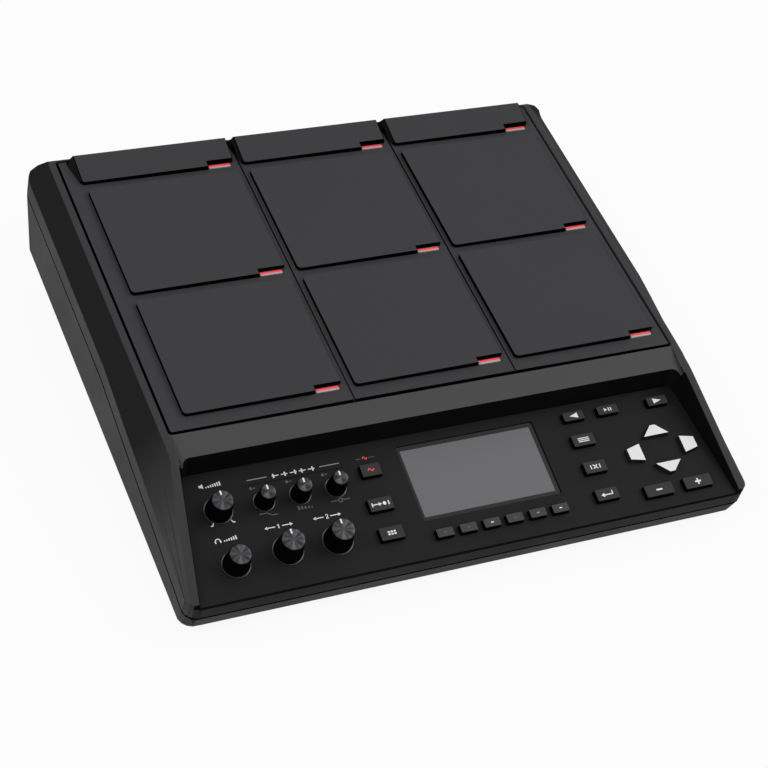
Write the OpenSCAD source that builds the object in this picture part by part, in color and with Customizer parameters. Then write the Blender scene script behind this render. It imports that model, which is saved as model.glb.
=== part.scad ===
// Sampling drum pad: a sloped deck of nine rubber pads with a control panel in front of it.
// Lengths are in millimetres. The origin is on the floor under the middle of the object.
// X points to the player's right, Y to the rear and Z up.

/* [Pads] */
// Width of a pad
pad_w = 105.3; // [98:0.1:112]
// Depth of a full pad
pad_d = 95; // [88:0.5:102]
// Depth of an edge pad in the rear row
edge_pad_d = 22.2; // [18:0.1:30]
// Height of a pad above the sheet
pad_h = 3; // [2:0.1:4]
// Height of an edge pad's rear ridge above the sheet
ridge_h = 7; // [5:0.1:9]
// Slope width of an edge pad's left side at the ridge
edge_draft = 4.3; // [3:0.1:5]
// Reach of an edge pad's ridge past the left of its pad
edge_lead = 2.2; // [0:0.1:2.5]
// Space between pads, side to side
pad_gap_x = 8.2; // [7:0.1:10]
// Space between pads, front to rear
pad_gap_y = 6.8; // [5:0.1:9]
// Corner radius of a pad
pad_r = 3; // [1.5:0.1:5]
// Sheet margin left of the pads
margin_left = 11.2; // [9:0.1:14]
// Sheet margin right of the pads
margin_right = 6.5; // [5:0.1:10]
// Sheet margin in front of the pads
margin_front = 9.6; // [7:0.1:12]
// Sheet margin behind the edge pads
margin_rear = 0.8; // [0.5:0.1:3]
// Thickness of the rubber sheet
sheet_t = 3; // [2.4:0.1:4]
// Groove round the sheet
sheet_gap = 1.8; // [0.8:0.1:2]
// Width of the grooves between the pad columns
column_groove = 0.9; // [0.5:0.1:1.5]
// Thickness of the steel plate under the sheet
plate_t = 1.2; // [1:0.1:1.6]
// Length of a light bar
light_w = 15.6; // [14:0.1:20]
// Depth of a light bar
light_d = 3; // [2.4:0.1:5]
// Height of a light bar above the sheet
light_h = 0.7; // [0.3:0.1:1.5]
// Radius of the sensor under a full pad
sensor_r = 13.5; // [10:0.5:18]
// Radius of the sensor under an edge pad
edge_sensor_r = 5.5; // [4:0.5:6]
// Thickness of the foam cushions
cushion_t = 4; // [3:0.5:6]

/* [Case] */
// Wall thickness of the two cases
wall = 2.6; // [2:0.1:3.2]
// Slope of the pad deck towards the player, degrees
deck_tilt = 4; // [3:0.5:5]
// Width of the rails beside the sheet
rail_w = 6; // [4.5:0.1:8]
// Width of the chamfers outside the rails
chamfer_w = 13.1; // [12:0.1:18]
// Depth of the controls in front of the sheet
control_d = 103.5; // [98:0.5:112]
// Depth of the rim behind the sheet
rear_rim = 5.5; // [5:0.1:8]
// Front corner radius of the cases seen from above
corner_r = 9; // [5:0.5:14]
// Rear corner radius of the cases seen from above
rear_corner_r = 6; // [3.5:0.5:8]
// Depth of the side walls below the deck at the front
side_drop = 58; // [54:0.5:64]
// Extra depth of the side walls at the rear
side_fall = 4; // [0:0.5:6]
// Depth of the parting line below the deck at the rear
parting_drop = 25; // [19:0.5:26]
// Depth of the parting line below the deck at the front
parting_front = 46; // [44:0.5:50]
// Distance from the sheet's front edge to where the parting line starts to fall
parting_bend = 72; // [55:1:90]
// Height of the upper case's side band
band_h = 12.5; // [9:0.5:15]
// Shadow gap between the two cases
parting_gap = 0.5; // [0.3:0.1:1]
// Distance from the sheet to the bend of the rails
rail_bend = 14; // [11:0.5:16]
// Half length of the rails' rounded bend
bend_soft = 10; // [6:0.5:10]
// Distance from the side to the rail's outer edge at the front
rail_front_inset = 1.7; // [1.5:0.1:4]
// Depth of the slope strip between the sheet and the recess
strip_d = 17.6; // [15:0.1:20]
// Fall of the slope strip
strip_fall = 4.6; // [3:0.1:6]
// Height of the upright part of the rear brow
brow_h = 13; // [10:0.5:16]
// Lean of the rear wall under the brow, degrees from the deck's normal
rear_rake = 23.7; // [20:0.1:26]
// Undercut of the lower case's front wall
front_under = 3.5; // [3:0.5:8]
// Inset of the base under the side walls
keel_inset = 15; // [10:0.5:20]
// Depth of the base below the front wall
keel_min = 0.860487; // [0.8:0.01:3]
// Height of the feet
foot_h = 6; // [4:0.5:8]
// Radius of the feet
foot_r = 9; // [7:0.5:12]

/* [Control panel] */
// Depth of the panel's front edge below the deck
panel_drop = 36.5; // [34:0.1:39]
// Slope of the panel against the deck, degrees
panel_slope = 9.8; // [9:0.1:11]
// Thickness of the panel plate
panel_t = 2.5; // [2:0.1:3]
// Height of the rails above the panel at the front
cheek_h = 2.6; // [2.4:0.1:6]
// Width of the front wall's lip before the panel
lip_w = 1.2; // [0.8:0.1:2]
// Inset of the recess from the sheet's sides at its rear
recess_inset = 1; // [0:0.1:2]
// Inset of the recess from the case's sides at its front
recess_front_inset = 8.1; // [7:0.1:11]
// Corner radius at the rear of the recess
recess_r = 5.5; // [3:0.5:8]
// Outward draft of the recess walls, per millimetre of height
recess_draft = 0.08; // [0.04:0.01:0.12]
// Width of the ledge under the panel
ledge_w = 4; // [3:0.5:4.5]
// Thickness of the ledges
ledge_t = 2.4; // [2:0.1:3]
// Distance from the panel's face down to the circuit board
board_drop = 11; // [10.5:0.1:12]
// Thickness of the circuit boards
board_t = 1.6; // [1.2:0.1:2]
// Display window width
window_w = 97; // [90:0.5:100]
// Display window depth
window_d = 53; // [48:0.5:56]
// Depth of the display window below the panel's face
window_drop = 1; // [0.4:0.1:1.4]
// Margin of the display module round its window
module_margin = 2.5; // [1.5:0.5:3]
// Thickness of the display module
module_t = 5; // [4:0.5:6]

/* [Keys and knobs] */
// Height of the keys above the panel
key_h = 3.2; // [2:0.1:4]
// Travel of the keys
key_travel = 0.7; // [0.5:0.1:0.9]
// Clearance round the keys
key_gap = 0.4; // [0.3:0.05:0.6]
// Width of the flange that keeps a key under the panel
key_flange = 1.1; // [0.8:0.1:1.5]
// Corner radius of the keys
key_r = 0.7; // [0.6:0.1:1.6]
// Free space between pieces that move past each other
free_gap = 0.35; // [0.3:0.05:0.5]
// Clearance between fixed pieces that are set into each other
fit_gap = 0.25; // [0.1:0.05:0.4]
// Radius of the knob shafts
shaft_r = 3; // [2.5:0.1:3.2]
// Radial running clearance of the shafts
run_gap = 0.06; // [0.04:0.01:0.1]
// Radial clearance of a knob on its shaft
press_gap = 0.02; // [0.01:0.01:0.05]
// Height of the rings round the knobs
ring_h = 0.4; // [0.3:0.1:0.6]
// Side of a potentiometer body
pot_w = 12; // [10:0.5:13]
// Radius of a potentiometer's bush
bush_r = 4.4; // [4.2:0.1:5]

/* [Rear and inside] */
// Half width of the jack bay
bay_x = 165; // [155:1:168]
// Height of the bay's sill above the floor
sill_z = 24; // [20:0.5:27]
// Depth of the bay at its sill
bay_min = 2.5; // [1.5:0.1:4]
// Thickness of the jack plate
jack_t = 2; // [1.5:0.1:3]
// Height of the sockets' axes above the sill
axis_h = 15; // [13:0.5:17]
// Radius of a quarter-inch socket's bore
jack_r = 3.25; // [3.2:0.01:3.4]
// Depth of a quarter-inch socket's bore
jack_depth = 21; // [18:0.5:24]
// Number of quarter-inch sockets
jack_n = 8; // [4:1:8]
// Distance between quarter-inch sockets
jack_pitch = 26; // [20:0.5:27]
// Radius of the screws' shanks
screw_r = 1.5; // [1.2:0.1:1.8]
// Radius of the screws' heads
head_r = 3; // [2.5:0.1:3.4]
// Spacing of the stand inserts, side to side
insert_x = 150; // [100:5:200]
// Spacing of the stand inserts, front to rear
insert_y = 100; // [70:5:130]
// Bore radius of the stand inserts
insert_r = 2.1; // [1.6:0.1:2.6]
// Length of the stand inserts
insert_h = 8; // [6:0.5:9]
// Travel of the power button
power_travel = 1.6; // [1:0.1:2]

/* [Hidden] */
$fn = 48;

// Deck coordinates: origin at the middle of the sheet's front edge, Z off the pad surface
pitch_x = pad_w + pad_gap_x;
pitch_y = pad_d + pad_gap_y;
sheet_w = 3 * pad_w + 2 * pad_gap_x + margin_left + margin_right;
sheet_d = margin_front + 2 * pitch_y + edge_pad_d + margin_rear;
sheet_x = sheet_w / 2;
rail_x = sheet_x + rail_w;
side_x = rail_x + chamfer_w;
far = 4 * side_x;
front_y = -control_d;
rear_y = sheet_d + rear_rim;
under_y = front_y + front_under;
keel_x = side_x - keel_inset;
rail_front_drop = panel_drop - cheek_h;
bed_z = -sheet_t - plate_t;
pad_x0 = -sheet_x + margin_left;
light_inset = 2.2;
light_y = 0.2;
light_r = 0.6;
notch_w = light_w + light_inset + 0.8;
notch_d = light_d + light_y + 1;
rear_soft = 4;
shoulder = 2.8;

// Deck frame in the room
deck_z = foot_h + keel_min - under_y * sin(deck_tilt) + side_drop * cos(deck_tilt);
front_reach = front_y * cos(deck_tilt) + rail_front_drop * sin(deck_tilt);
rear_reach = rear_y * cos(deck_tilt) + brow_h * sin(deck_tilt);
deck_y = -(front_reach + rear_reach) / 2;

// Lines of the case along the deck
function mix(a, b, t) = a + (b - a) * t;
function keel_z(y) = (foot_h - deck_z - y * sin(deck_tilt)) / cos(deck_tilt);
function side_z(y) = -side_drop - side_fall * (y - front_y) / (rear_y - front_y);
function fall_t(y) = max(0, (parting_bend - y) / (parting_bend - front_y));
function parting_z(y) = -mix(parting_drop, parting_front, fall_t(y));
function rail_line(y) = -rail_front_drop * (-rail_bend - y) / (-rail_bend - front_y);
rail_grade = rail_front_drop / (control_d - rail_bend);
function rail_z(y) =
    y > -rail_bend + bend_soft ? 0 :
    y < -rail_bend - bend_soft ? rail_line(y) :
    -rail_grade * pow(-rail_bend + bend_soft - y, 2) / (4 * bend_soft);
function rail_out(y) =
    mix(rail_x, side_x - rail_front_inset, max(0, (-rail_bend - y) / (control_d - rail_bend)));
function chamfer_z(y) = min(parting_z(y) + band_h, rail_z(y) - 0.8);

// Control panel frame: origin at the middle of the panel's front edge on its face
panel_y = front_y + lip_w;
strip_end = -strip_d - recess_r - 1;
panel_z = -panel_drop;
panel_len = (control_d - lip_w - strip_d) / cos(panel_slope);
recess_rear_x = sheet_x - recess_inset;
recess_front_x = side_x - recess_front_inset;
function panel_at(y, drop) = panel_z + (y - panel_y) * tan(panel_slope) - drop / cos(panel_slope);
function recess_x(y) = mix(recess_rear_x, recess_front_x, (-strip_d - y) / (control_d - strip_d));

// Panel positions: from the left, from the right, from the rear
function lx(d) = -sheet_x + d;
function rx(d) = sheet_x - d;
function fr(d) = panel_len - d;
flange_top = panel_t + free_gap;
flange_t = 1.2;
stem_end = 5.5;
stem_r = 1.7;
plunger_top = stem_end + key_travel + free_gap;
switch_w = 6;
switch_h = 3.2;
window_c = [17.2, fr(34)];
cursor_c = [rx(28.8), 40.7];
knob_lift = 0.8;
pot_top = panel_t + 0.4;
shaft_low = 8.5;

// Knobs: name, x, s, base radius, cap radius, height
KNOBS = [
    ["master_knob", lx(19), fr(26.9), 8.4, 6.6, 14.2],
    ["phones_knob", lx(18.6), 22.6, 8.4, 6.6, 14.2],
    ["effect_knob_1", lx(48.5), fr(26.7), 6.3, 4.8, 13.4],
    ["effect_knob_2", lx(72.2), fr(26.7), 6.3, 4.8, 13.4],
    ["effect_knob_3", lx(95.9), fr(26.7), 6.3, 4.8, 13.4],
    ["control_knob_1", lx(52.5), 24.6, 9.2, 7.2, 15.5],
    ["control_knob_2", lx(84.9), 24.5, 9.2, 7.2, 15.5]
];

// Rectangular keys: name, x, s, width, depth
BAR_KEYS = [
    ["effect_key", -54, fr(20.8), 13.3, 8.6],
    ["trigger_key", -56, 41.2, 16, 8.8],
    ["kit_key", -56, 20.9, 15.7, 8.8],
    ["function_key_1", -22.3, 14.1, 11.4, 5.9],
    ["function_key_2", -6.1, 14.1, 11.4, 5.9],
    ["function_key_3", 10.2, 14.1, 11.4, 5.9],
    ["function_key_4", 26.4, 14.1, 11.4, 5.9],
    ["function_key_5", 42.7, 14.1, 11.4, 5.9],
    ["function_key_6", 58.9, 14.1, 11.4, 5.9],
    ["back_key", rx(80.6), fr(10.6), 15, 6.5],
    ["centre_key", rx(55), fr(10.6), 15.2, 6.5],
    ["forward_key", rx(17.4), fr(10.9), 15, 6.5],
    ["menu_key", rx(80.8), fr(28.6), 16, 8.3],
    ["exit_key", rx(80.8), 37.1, 16, 8.3],
    ["enter_key", rx(80.8), 16.9, 16, 8.3],
    ["minus_key", rx(44), 12.5, 20.6, 8.4],
    ["plus_key", rx(14.6), 12.6, 20.6, 8.4]
];

// Cursor keys: name, turn about the cluster's centre, inner and outer half length, inner and outer distance
CURSOR_KEYS = [
    ["cursor_up_key", 0, 9.7, 1.9, 10, 17.6],
    ["cursor_left_key", 90, 6.3, 3.9, 15.2, 25.4],
    ["cursor_down_key", 180, 9.7, 1.9, 10, 17.6],
    ["cursor_right_key", 270, 6.3, 3.9, 15.2, 25.4]
];

// Posts under the panel that carry its board
PANEL_POSTS = [
    [lx(19), 41], [-40, 12], [-40, fr(10)], [rx(64), 12], [rx(64), 40], [rx(67.8), fr(10)], [rx(9), 60]
];
panel_post_r = 3.2;
board_side = 4;
board_ends = 12;

// Case screws on one side: x, deck y, and whether it hangs from the panel's ledge
SCREWS = [
    [sheet_x - 3, sheet_d * 0.85, false],
    [sheet_x - 3, sheet_d * 0.45, false],
    [sheet_x - 3, sheet_d * 0.06, false],
    [sheet_x + 3, front_y + 17.5, true]
];
boss_r = 4.2;
head_seat = foot_h + 4;
head_t = 2;
thread_gap = 0.05;

// Rear wall and jack bay in the room
brow_y = deck_y + rear_reach;
brow_z = deck_z + rear_y * sin(deck_tilt) - brow_h * cos(deck_tilt);
function rear_wall_y(z) = brow_y - (brow_z - z) * tan(rear_rake - deck_tilt);
jack_y = rear_wall_y(sill_z) - bay_min;
seat_y = jack_y - jack_t;
axis_z = sill_z + axis_h;
board_z = axis_z - 8.5;
bay_rim = 4;
jack_body = [15, 24, 17];
jack_x0 = 48;
usb_host_x = 76;
usb_device_x = 98;
inlet_x = 124;
power_x = 149;
power_w = 7;
main_w = 320;
main_d = 112;
main_post_r = 3.5;
MAIN_POSTS = [[-152, 8], [0, 45], [152, 30], [-152, 104], [0, 104], [152, 104]];
bush_bore = shaft_r + run_gap;
foot_inset = 28;
foot_set = 24;
foot_x = keel_x - foot_inset;
foot_front = deck_y + under_y + foot_set;
foot_rear = deck_y + sheet_d * 0.78;
insert_c = (foot_front + foot_rear) / 2;
insert_wall = 1.9;
insert_out = insert_r + insert_wall;
insert_boss = 3;
insert_cap = 2.5;

// Frames

module on_deck() {
    translate([0, deck_y, deck_z])
        rotate([deck_tilt, 0, 0])
            children();
}

module off_deck() {
    rotate([-deck_tilt, 0, 0])
        translate([0, -deck_y, -deck_z])
            children();
}

module panel_frame() {
    translate([0, panel_y, panel_z])
        rotate([panel_slope, 0, 0])
            children();
}

module on_panel() {
    on_deck()
        panel_frame()
            children();
}

module facing_rear() {
    rotate([-90, 0, 0])
        children();
}

// Shared shapes

module rounded(w, d, r) {
    square([w, d - 2 * r], center = true);
    square([w - 2 * r, d], center = true);
    for (sx = [-1, 1]) {
        for (sy = [-1, 1]) {
            translate([sx * (w / 2 - r), sy * (d / 2 - r)])
                circle(r);
        }
    }
}

module along_x(w) {
    rotate([90, 0, 90])
        linear_extrude(height = w, center = true)
            children();
}

module box(size) {
    translate([-size[0] / 2, -size[1] / 2, 0])
        cube(size);
}

// Solid through matching convex outlines of [x, z] points, given as [y, outline]
module loft(stations) {
    n = len(stations[0][1]);
    last = (len(stations) - 1) * n;
    points = [for (s = stations) for (p = s[1]) [p[0], s[0], p[1]]];
    sides = [for (i = [0 : len(stations) - 2]) for (j = [0 : n - 1])
        let (a = i * n + j, b = i * n + (j + 1) % n)
            each [[a, b + n, b], [a, a + n, b + n]]];
    first_cap = [for (j = [1 : n - 2]) [0, j, j + 1]];
    last_cap = [for (j = [1 : n - 2]) [last, last + j + 1, last + j]];
    polyhedron(points, concat(sides, first_cap, last_cap));
}

function mirrored(half) = concat(
    [for (p = half) [-p[0], p[1]]],
    [for (i = [len(half) - 1 : -1 : 0]) half[i]]
);

// Outlines of the cases, from the lower edge up, with inset i

module plan(i) {
    width = 2 * (side_x - i);
    rear_part = sheet_d / 2;
    translate([0, 0, -far / 2])
        linear_extrude(height = far) {
            translate([0, (front_y + rear_y) / 2])
                rounded(width, rear_y - front_y - 2 * i, corner_r - i);
            translate([0, rear_y - i - rear_part / 2])
                rounded(width, rear_part, rear_corner_r - i);
        }
}

// Upper case: its top falls by dz, and its chamfer swells by the share k into the rear shoulder
function chamfer_grade(y) = (rail_z(y) - chamfer_z(y)) / (side_x - rail_out(y));
function top_half(y, i, dz, k) =
    let (
        low = [side_x + 1, chamfer_z(y) - chamfer_grade(y) - 1.3 * i - dz],
        high = [rail_out(y) - 0.4 * i, rail_z(y) - i - dz],
        swell = k * shoulder * [0.66, 0.75]
    )
    concat(
        [[side_x + 1, parting_z(y) - i], low],
        [for (t = [0.33, 0.67]) mix(low, high, t) + swell],
        [high]
    );
function bottom_half(y, i) = [
    [keel_x - 0.3 * i, keel_z(y) + i],
    [side_x - i * 0.6, max(side_z(y) + i * 0.3, keel_z(y) + i)],
    [side_x + 1, max(side_z(y), keel_z(y) + i) + i * 0.3 + 0.2],
    [side_x + 1, parting_z(y) - parting_gap + i]
];

// Rear shoulder: distance from the rear, share of the fall, share of the swell
rear_steps = [[12, 0, 0], [9, 0, 0.06], [7, 0, 0.22], [5, 0, 0.54], [3.6, 0, 0.82], [2.2, 0.12, 0.97],
    [1, 0.36, 1], [0, 1, 1], [-0.5, 1.3, 1]];

module top_line(i) {
    bend = [for (k = [-1 : 0.5 : 1]) -rail_bend + k * bend_soft];
    loft(concat(
        [for (y = concat([front_y - 1], bend, [parting_bend])) [y, mirrored(top_half(y, i, 0, 0))]],
        [for (s = rear_steps) [rear_y - s[0], mirrored(top_half(rear_y - s[0], i, s[1] * rear_soft, s[2]))]]
    ));
}

module bottom_line(i) {
    loft([for (y = [front_y - 1, parting_bend, rear_y + 1]) [y, mirrored(bottom_half(y, i))]]);
}

// Space behind the slanted rear wall, moved inwards by i
module behind_rear(i) {
    y0 = rear_y - i / cos(rear_rake);
    drop = 100;
    along_x(far)
        polygon([[y0, -brow_h], [y0 + 60, -brow_h], [y0 + 60, -brow_h - drop],
            [y0 - drop * tan(rear_rake), -brow_h - drop]]);
}

// Space before the lower case's front wall, which is undercut by a share, moved inwards by i
module before_front(i, share) {
    reach = front_under * 2 * share;
    depth = (side_drop - parting_front) * 2;
    along_x(far)
        polygon([[front_y + i, -parting_front], [front_y + i + reach, -parting_front - depth],
            [front_y - 20, -parting_front - depth], [front_y - 20, -parting_front]]);
}

// Space round the lower case's front corners, whose undercut ends towards the sides
module before_corners(i) {
    for (sx = [-1, 1]) {
        for (a = [22.5, 45, 67.5]) {
            translate([sx * (side_x - corner_r), front_y + corner_r, 0])
                rotate([0, 0, sx * a])
                    translate([0, -front_y - corner_r, 0])
                        before_front(i, cos(a));
        }
    }
}

// Recess of the control panel from y0 to the strip, its floor `drop` below the panel's face, grown by g
module recess(y0, drop, g) {
    top = 8;
    loft([for (y = [y0, -strip_d + g])
        let (x = recess_x(y) + g, floor_z = panel_at(y, drop))
            [y, mirrored([[x, floor_z], [x + recess_draft * (top - floor_z), top]])]]);
}

// Rounded corners at the recess's rear, with clearance g for what is set in
module recess_corners(g) {
    for (sx = [-1, 1]) {
        translate([sx * (recess_rear_x - recess_r), -strip_d - recess_r, -panel_drop])
            mirror([sx < 0 ? 1 : 0, 0, 0])
                linear_extrude(height = panel_drop)
                    difference() {
                        square(recess_r + 4);
                        circle(recess_r - g);
                    }
    }
}

module sheet_area(g, r) {
    translate([0, sheet_d / 2])
        rounded(sheet_w + 2 * g, sheet_d + 2 * g, r);
}

module sheet_bed(g, r, z0, z1) {
    translate([0, 0, z0])
        linear_extrude(height = z1 - z0)
            sheet_area(g, r);
}

// Case screws: each child is placed in the room at a screw's foot
module at_screws() {
    for (s = SCREWS) {
        for (sx = [-1, 1]) {
            translate([sx * s[0], deck_y + s[1], 0])
                children();
        }
    }
}

function joint_z(y) = deck_z + y * sin(deck_tilt) + parting_z(y) * cos(deck_tilt);
function hang_z(s) = deck_z + s[1] * sin(deck_tilt)
    + (s[2] ? panel_at(s[1], panel_t + ledge_t / 2) : bed_z - ledge_t / 2) * cos(deck_tilt);

module top_bosses(r) {
    for (s = SCREWS) {
        for (sx = [-1, 1]) {
            translate([sx * s[0], deck_y + s[1], joint_z(s[1]) - 6])
                cylinder(r = r, h = hang_z(s) - joint_z(s[1]) + 6);
        }
    }
}

// Solid parts inside the upper case
module top_blocks() {
    difference() {
        recess(front_y - 1, panel_t + ledge_t, wall);
        recess(panel_y + wall, panel_t + ledge_t + 2, -ledge_w);
    }
    difference() {
        sheet_bed(sheet_gap + wall, 4, bed_z - ledge_t, 1);
        sheet_bed(-ledge_w, 2, bed_z - ledge_t - 1, 2);
    }
    translate([0, -strip_d / 2, -strip_fall - wall - 1])
        box([sheet_w + 6, strip_d + 6, strip_fall + wall + 2]);
    bay_deck_y = seat_y - deck_y - 8;
    translate([0, (bay_deck_y + rear_y) / 2, -parting_drop - 4])
        box([2 * (bay_x + wall), rear_y - bay_deck_y, wall + 4]);
    off_deck()
        top_bosses(boss_r);
}

module top_case() {
    color([0.23, 0.23, 0.24])
        on_deck()
            difference() {
                intersection() {
                    plan(0);
                    top_line(0);
                }
                behind_rear(0);
                difference() {
                    intersection() {
                        plan(wall);
                        top_line(wall);
                    }
                    behind_rear(wall);
                    top_blocks();
                }
                difference() {
                    union() {
                        recess(front_y - 2, 0, 0);
                        recess(panel_y, panel_t, 0);
                    }
                    recess_corners(0);
                }
                along_x(far)
                    polygon([[front_y - 2, panel_at(front_y - 2, 0)], [panel_y, panel_at(panel_y, 0)],
                        [panel_y, 6], [front_y - 2, 6]]);
                along_x(sheet_w + 0.6)
                    polygon([[-sheet_gap, 0], [strip_end, -strip_fall * strip_end / -strip_d], [strip_end, 6],
                        [-sheet_gap, 6]]);
                sheet_bed(sheet_gap, 2, bed_z, 10);
                off_deck()
                    screw_tips(screw_r);
            }
}

// Threaded ends of the case screws in the bosses
module screw_tips(r) {
    for (s = SCREWS) {
        for (sx = [-1, 1]) {
            translate([sx * s[0], deck_y + s[1], head_seat])
                cylinder(r = r, h = hang_z(s) - 2 - head_seat);
        }
    }
}

// Solid parts inside the lower case
module bottom_blocks() {
    at_screws()
        cylinder(r = boss_r, h = far);
    difference() {
        translate([0, seat_y - wall + 30, sill_z - wall])
            box([2 * (bay_x + wall), 60, 80]);
        translate([0, seat_y, sill_z + bay_rim])
            box([2 * (bay_x - bay_rim), 40, 80]);
    }
    for (p = MAIN_POSTS) {
        translate([p[0], seat_y - p[1], 0])
            cylinder(r = main_post_r, h = board_z - board_t);
    }
    at_inserts()
        cylinder(r = insert_out + insert_boss, h = foot_h + insert_h + insert_cap);
}

module at_inserts() {
    for (sx = [-1, 1]) {
        for (sy = [-1, 1]) {
            translate([sx * insert_x / 2, insert_c + sy * insert_y / 2, 0])
                children();
        }
    }
}

module bottom_case() {
    color([0.2, 0.2, 0.21])
        on_deck()
            difference() {
                intersection() {
                    plan(0);
                    bottom_line(0);
                }
                behind_rear(0);
                before_front(0, 1);
                before_corners(0);
                difference() {
                    intersection() {
                        plan(wall);
                        bottom_line(wall);
                    }
                    behind_rear(wall);
                    before_front(wall, 1);
                    before_corners(wall);
                    off_deck()
                        bottom_blocks();
                }
                off_deck() {
                    translate([0, seat_y + 40, sill_z])
                        box([2 * bay_x, 80, 80]);
                    at_screws() {
                        cylinder(r = screw_r + fit_gap, h = far);
                        cylinder(r = head_r + fit_gap, h = head_seat);
                    }
                    at_inserts()
                        cylinder(r = insert_out + press_gap, h = foot_h + insert_h);
                }
            }
}

module case_screws() {
    color([0.6, 0.6, 0.62]) {
        at_screws()
            translate([0, 0, head_seat - head_t])
                difference() {
                    cylinder(r = head_r, h = head_t);
                    translate([0, 0, -1])
                        box([0.8, 3.2, 2]);
                    translate([0, 0, -1])
                        box([3.2, 0.8, 2]);
                }
        screw_tips(screw_r - thread_gap);
    }
}

module rubber_feet() {
    color([0.1, 0.1, 0.1])
        for (sx = [-1, 1]) {
            for (y = [foot_front, foot_rear]) {
                translate([sx * foot_x, y, 0])
                    rotate_extrude()
                        polygon([[0, 0], [foot_r - 1.5, 0], [foot_r - 0.5, 1], [foot_r, foot_h],
                            [0, foot_h]]);
            }
        }
}

module stand_inserts() {
    color([0.75, 0.6, 0.3])
        at_inserts()
            translate([0, 0, foot_h])
                difference() {
                    cylinder(r = insert_out, h = insert_h);
                    translate([0, 0, -1])
                        cylinder(r = insert_r, h = insert_h + 2);
                }
}

// Pads

module at_pads(rows) {
    for (i = [0 : 2]) {
        for (j = rows) {
            translate([pad_x0 + i * pitch_x, margin_front + j * pitch_y, 0])
                children();
        }
    }
}

module light_notch() {
    translate([pad_w - notch_w, -1, 0])
        cube([notch_w + 1, notch_d + 1, ridge_h + 1]);
}

module light_shape(g) {
    translate([pad_w - light_inset - light_w / 2, light_y + light_d / 2])
        rounded(light_w + 2 * g, light_d + 2 * g, light_r + g);
}

module pad_sheet() {
    lights = 0.2;
    color([0.25, 0.25, 0.26])
        on_deck()
            difference() {
                union() {
                    sheet_bed(0, 1.5, -sheet_t, 0);
                    at_pads([0, 1])
                        difference() {
                            translate([pad_w / 2, pad_d / 2, -0.5])
                                linear_extrude(height = pad_h + 0.5)
                                    rounded(pad_w, pad_d, pad_r);
                            light_notch();
                        }
                    at_pads([2])
                        edge_pad();
                }
                at_pads([0, 1, 2])
                    translate([0, 0, -sheet_t - 1])
                        linear_extrude(height = sheet_t + 2)
                            light_shape(lights);
                for (i = [1, 2]) {
                    translate([pad_x0 + i * pitch_x - pad_gap_x * 0.46, sheet_d / 2, -1])
                        box([column_groove, sheet_d + 2, 4]);
                }
            }
}

// Edge pad: a wedge that rises to the rear between drafted sides
module edge_pad() {
    steps = [[0, 0, pad_h], [edge_pad_d - 1, 1, ridge_h], [edge_pad_d, 1, ridge_h - 0.8]];
    reach = edge_lead + edge_draft + 2;
    front_lead = edge_lead * 0.65;
    difference() {
        intersection() {
            loft([for (s = steps)
                let (
                    lead = mix(front_lead, edge_lead, s[1]),
                    left = lead + mix(0.8, edge_draft, s[1]),
                    right = mix(0.5, pad_gap_x - edge_lead - edge_draft - 1.2, s[1])
                )
                    [s[0], [[-left, -0.5], [-lead, s[2]], [pad_w, s[2]], [pad_w + right, -0.5]]]]);
            union() {
                translate([(pad_w - front_lead) / 2, edge_pad_d, -1])
                    linear_extrude(height = ridge_h + 2)
                        rounded(pad_w + front_lead + 1.3, 2 * edge_pad_d, pad_r);
                translate([-reach, pad_r, -1])
                    cube([pad_w + 2 * reach, edge_pad_d, ridge_h + 2]);
            }
        }
        light_notch();
    }
}

module pad_lights() {
    color([0.9, 0.25, 0.25])
        on_deck()
            at_pads([0, 1, 2])
                translate([0, 0, -sheet_t])
                    linear_extrude(height = sheet_t + light_h)
                        light_shape(0);
}

module pad_plate() {
    color([0.55, 0.56, 0.58])
        on_deck()
            sheet_bed(sheet_gap - fit_gap, 2, bed_z, -sheet_t);
}

module at_sensors() {
    at_pads([0, 1])
        translate([pad_w / 2, pad_d / 2, bed_z])
            children(0);
    for (i = [0 : 2]) {
        translate([pad_x0 + i * pitch_x + pad_w / 2, sheet_d - ledge_w - edge_sensor_r - 1, bed_z])
            children(1);
    }
}

sensor_t = 0.6;

module pad_sensors() {
    color([0.8, 0.65, 0.3])
        on_deck()
            at_sensors() {
                translate([0, 0, -sensor_t])
                    cylinder(r = sensor_r, h = sensor_t);
                translate([0, 0, -sensor_t])
                    cylinder(r = edge_sensor_r, h = sensor_t);
            }
}

module sensor_cushions() {
    color([0.15, 0.15, 0.16])
        on_deck()
            at_sensors() {
                translate([0, 0, -sensor_t - cushion_t])
                    cylinder(r = sensor_r + 5, h = cushion_t);
                translate([0, 0, -sensor_t - cushion_t])
                    cylinder(r = edge_sensor_r, h = cushion_t);
            }
}

// Control panel

module bar_key_shape(k, g) {
    translate([k[1], k[2]])
        rounded(k[3] + 2 * g, k[4] + 2 * g, key_r + g * 0.8);
}

// Trapezium with its sides moved out by g
module cursor_shape(k, g) {
    grade = (k[2] - k[3]) / (k[5] - k[4]);
    out = g * sqrt(1 + grade * grade);
    inner = k[2] + out + g * grade;
    outer = k[3] + out - g * grade;
    translate(cursor_c)
        rotate(k[1])
            polygon([[-inner, k[4] - g], [inner, k[4] - g], [outer, k[5] + g], [-outer, k[5] + g]]);
}

function cursor_at(k) = cursor_c + (k[4] * 0.55 + k[5] * 0.45) * [-sin(k[1]), cos(k[1])];

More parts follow.
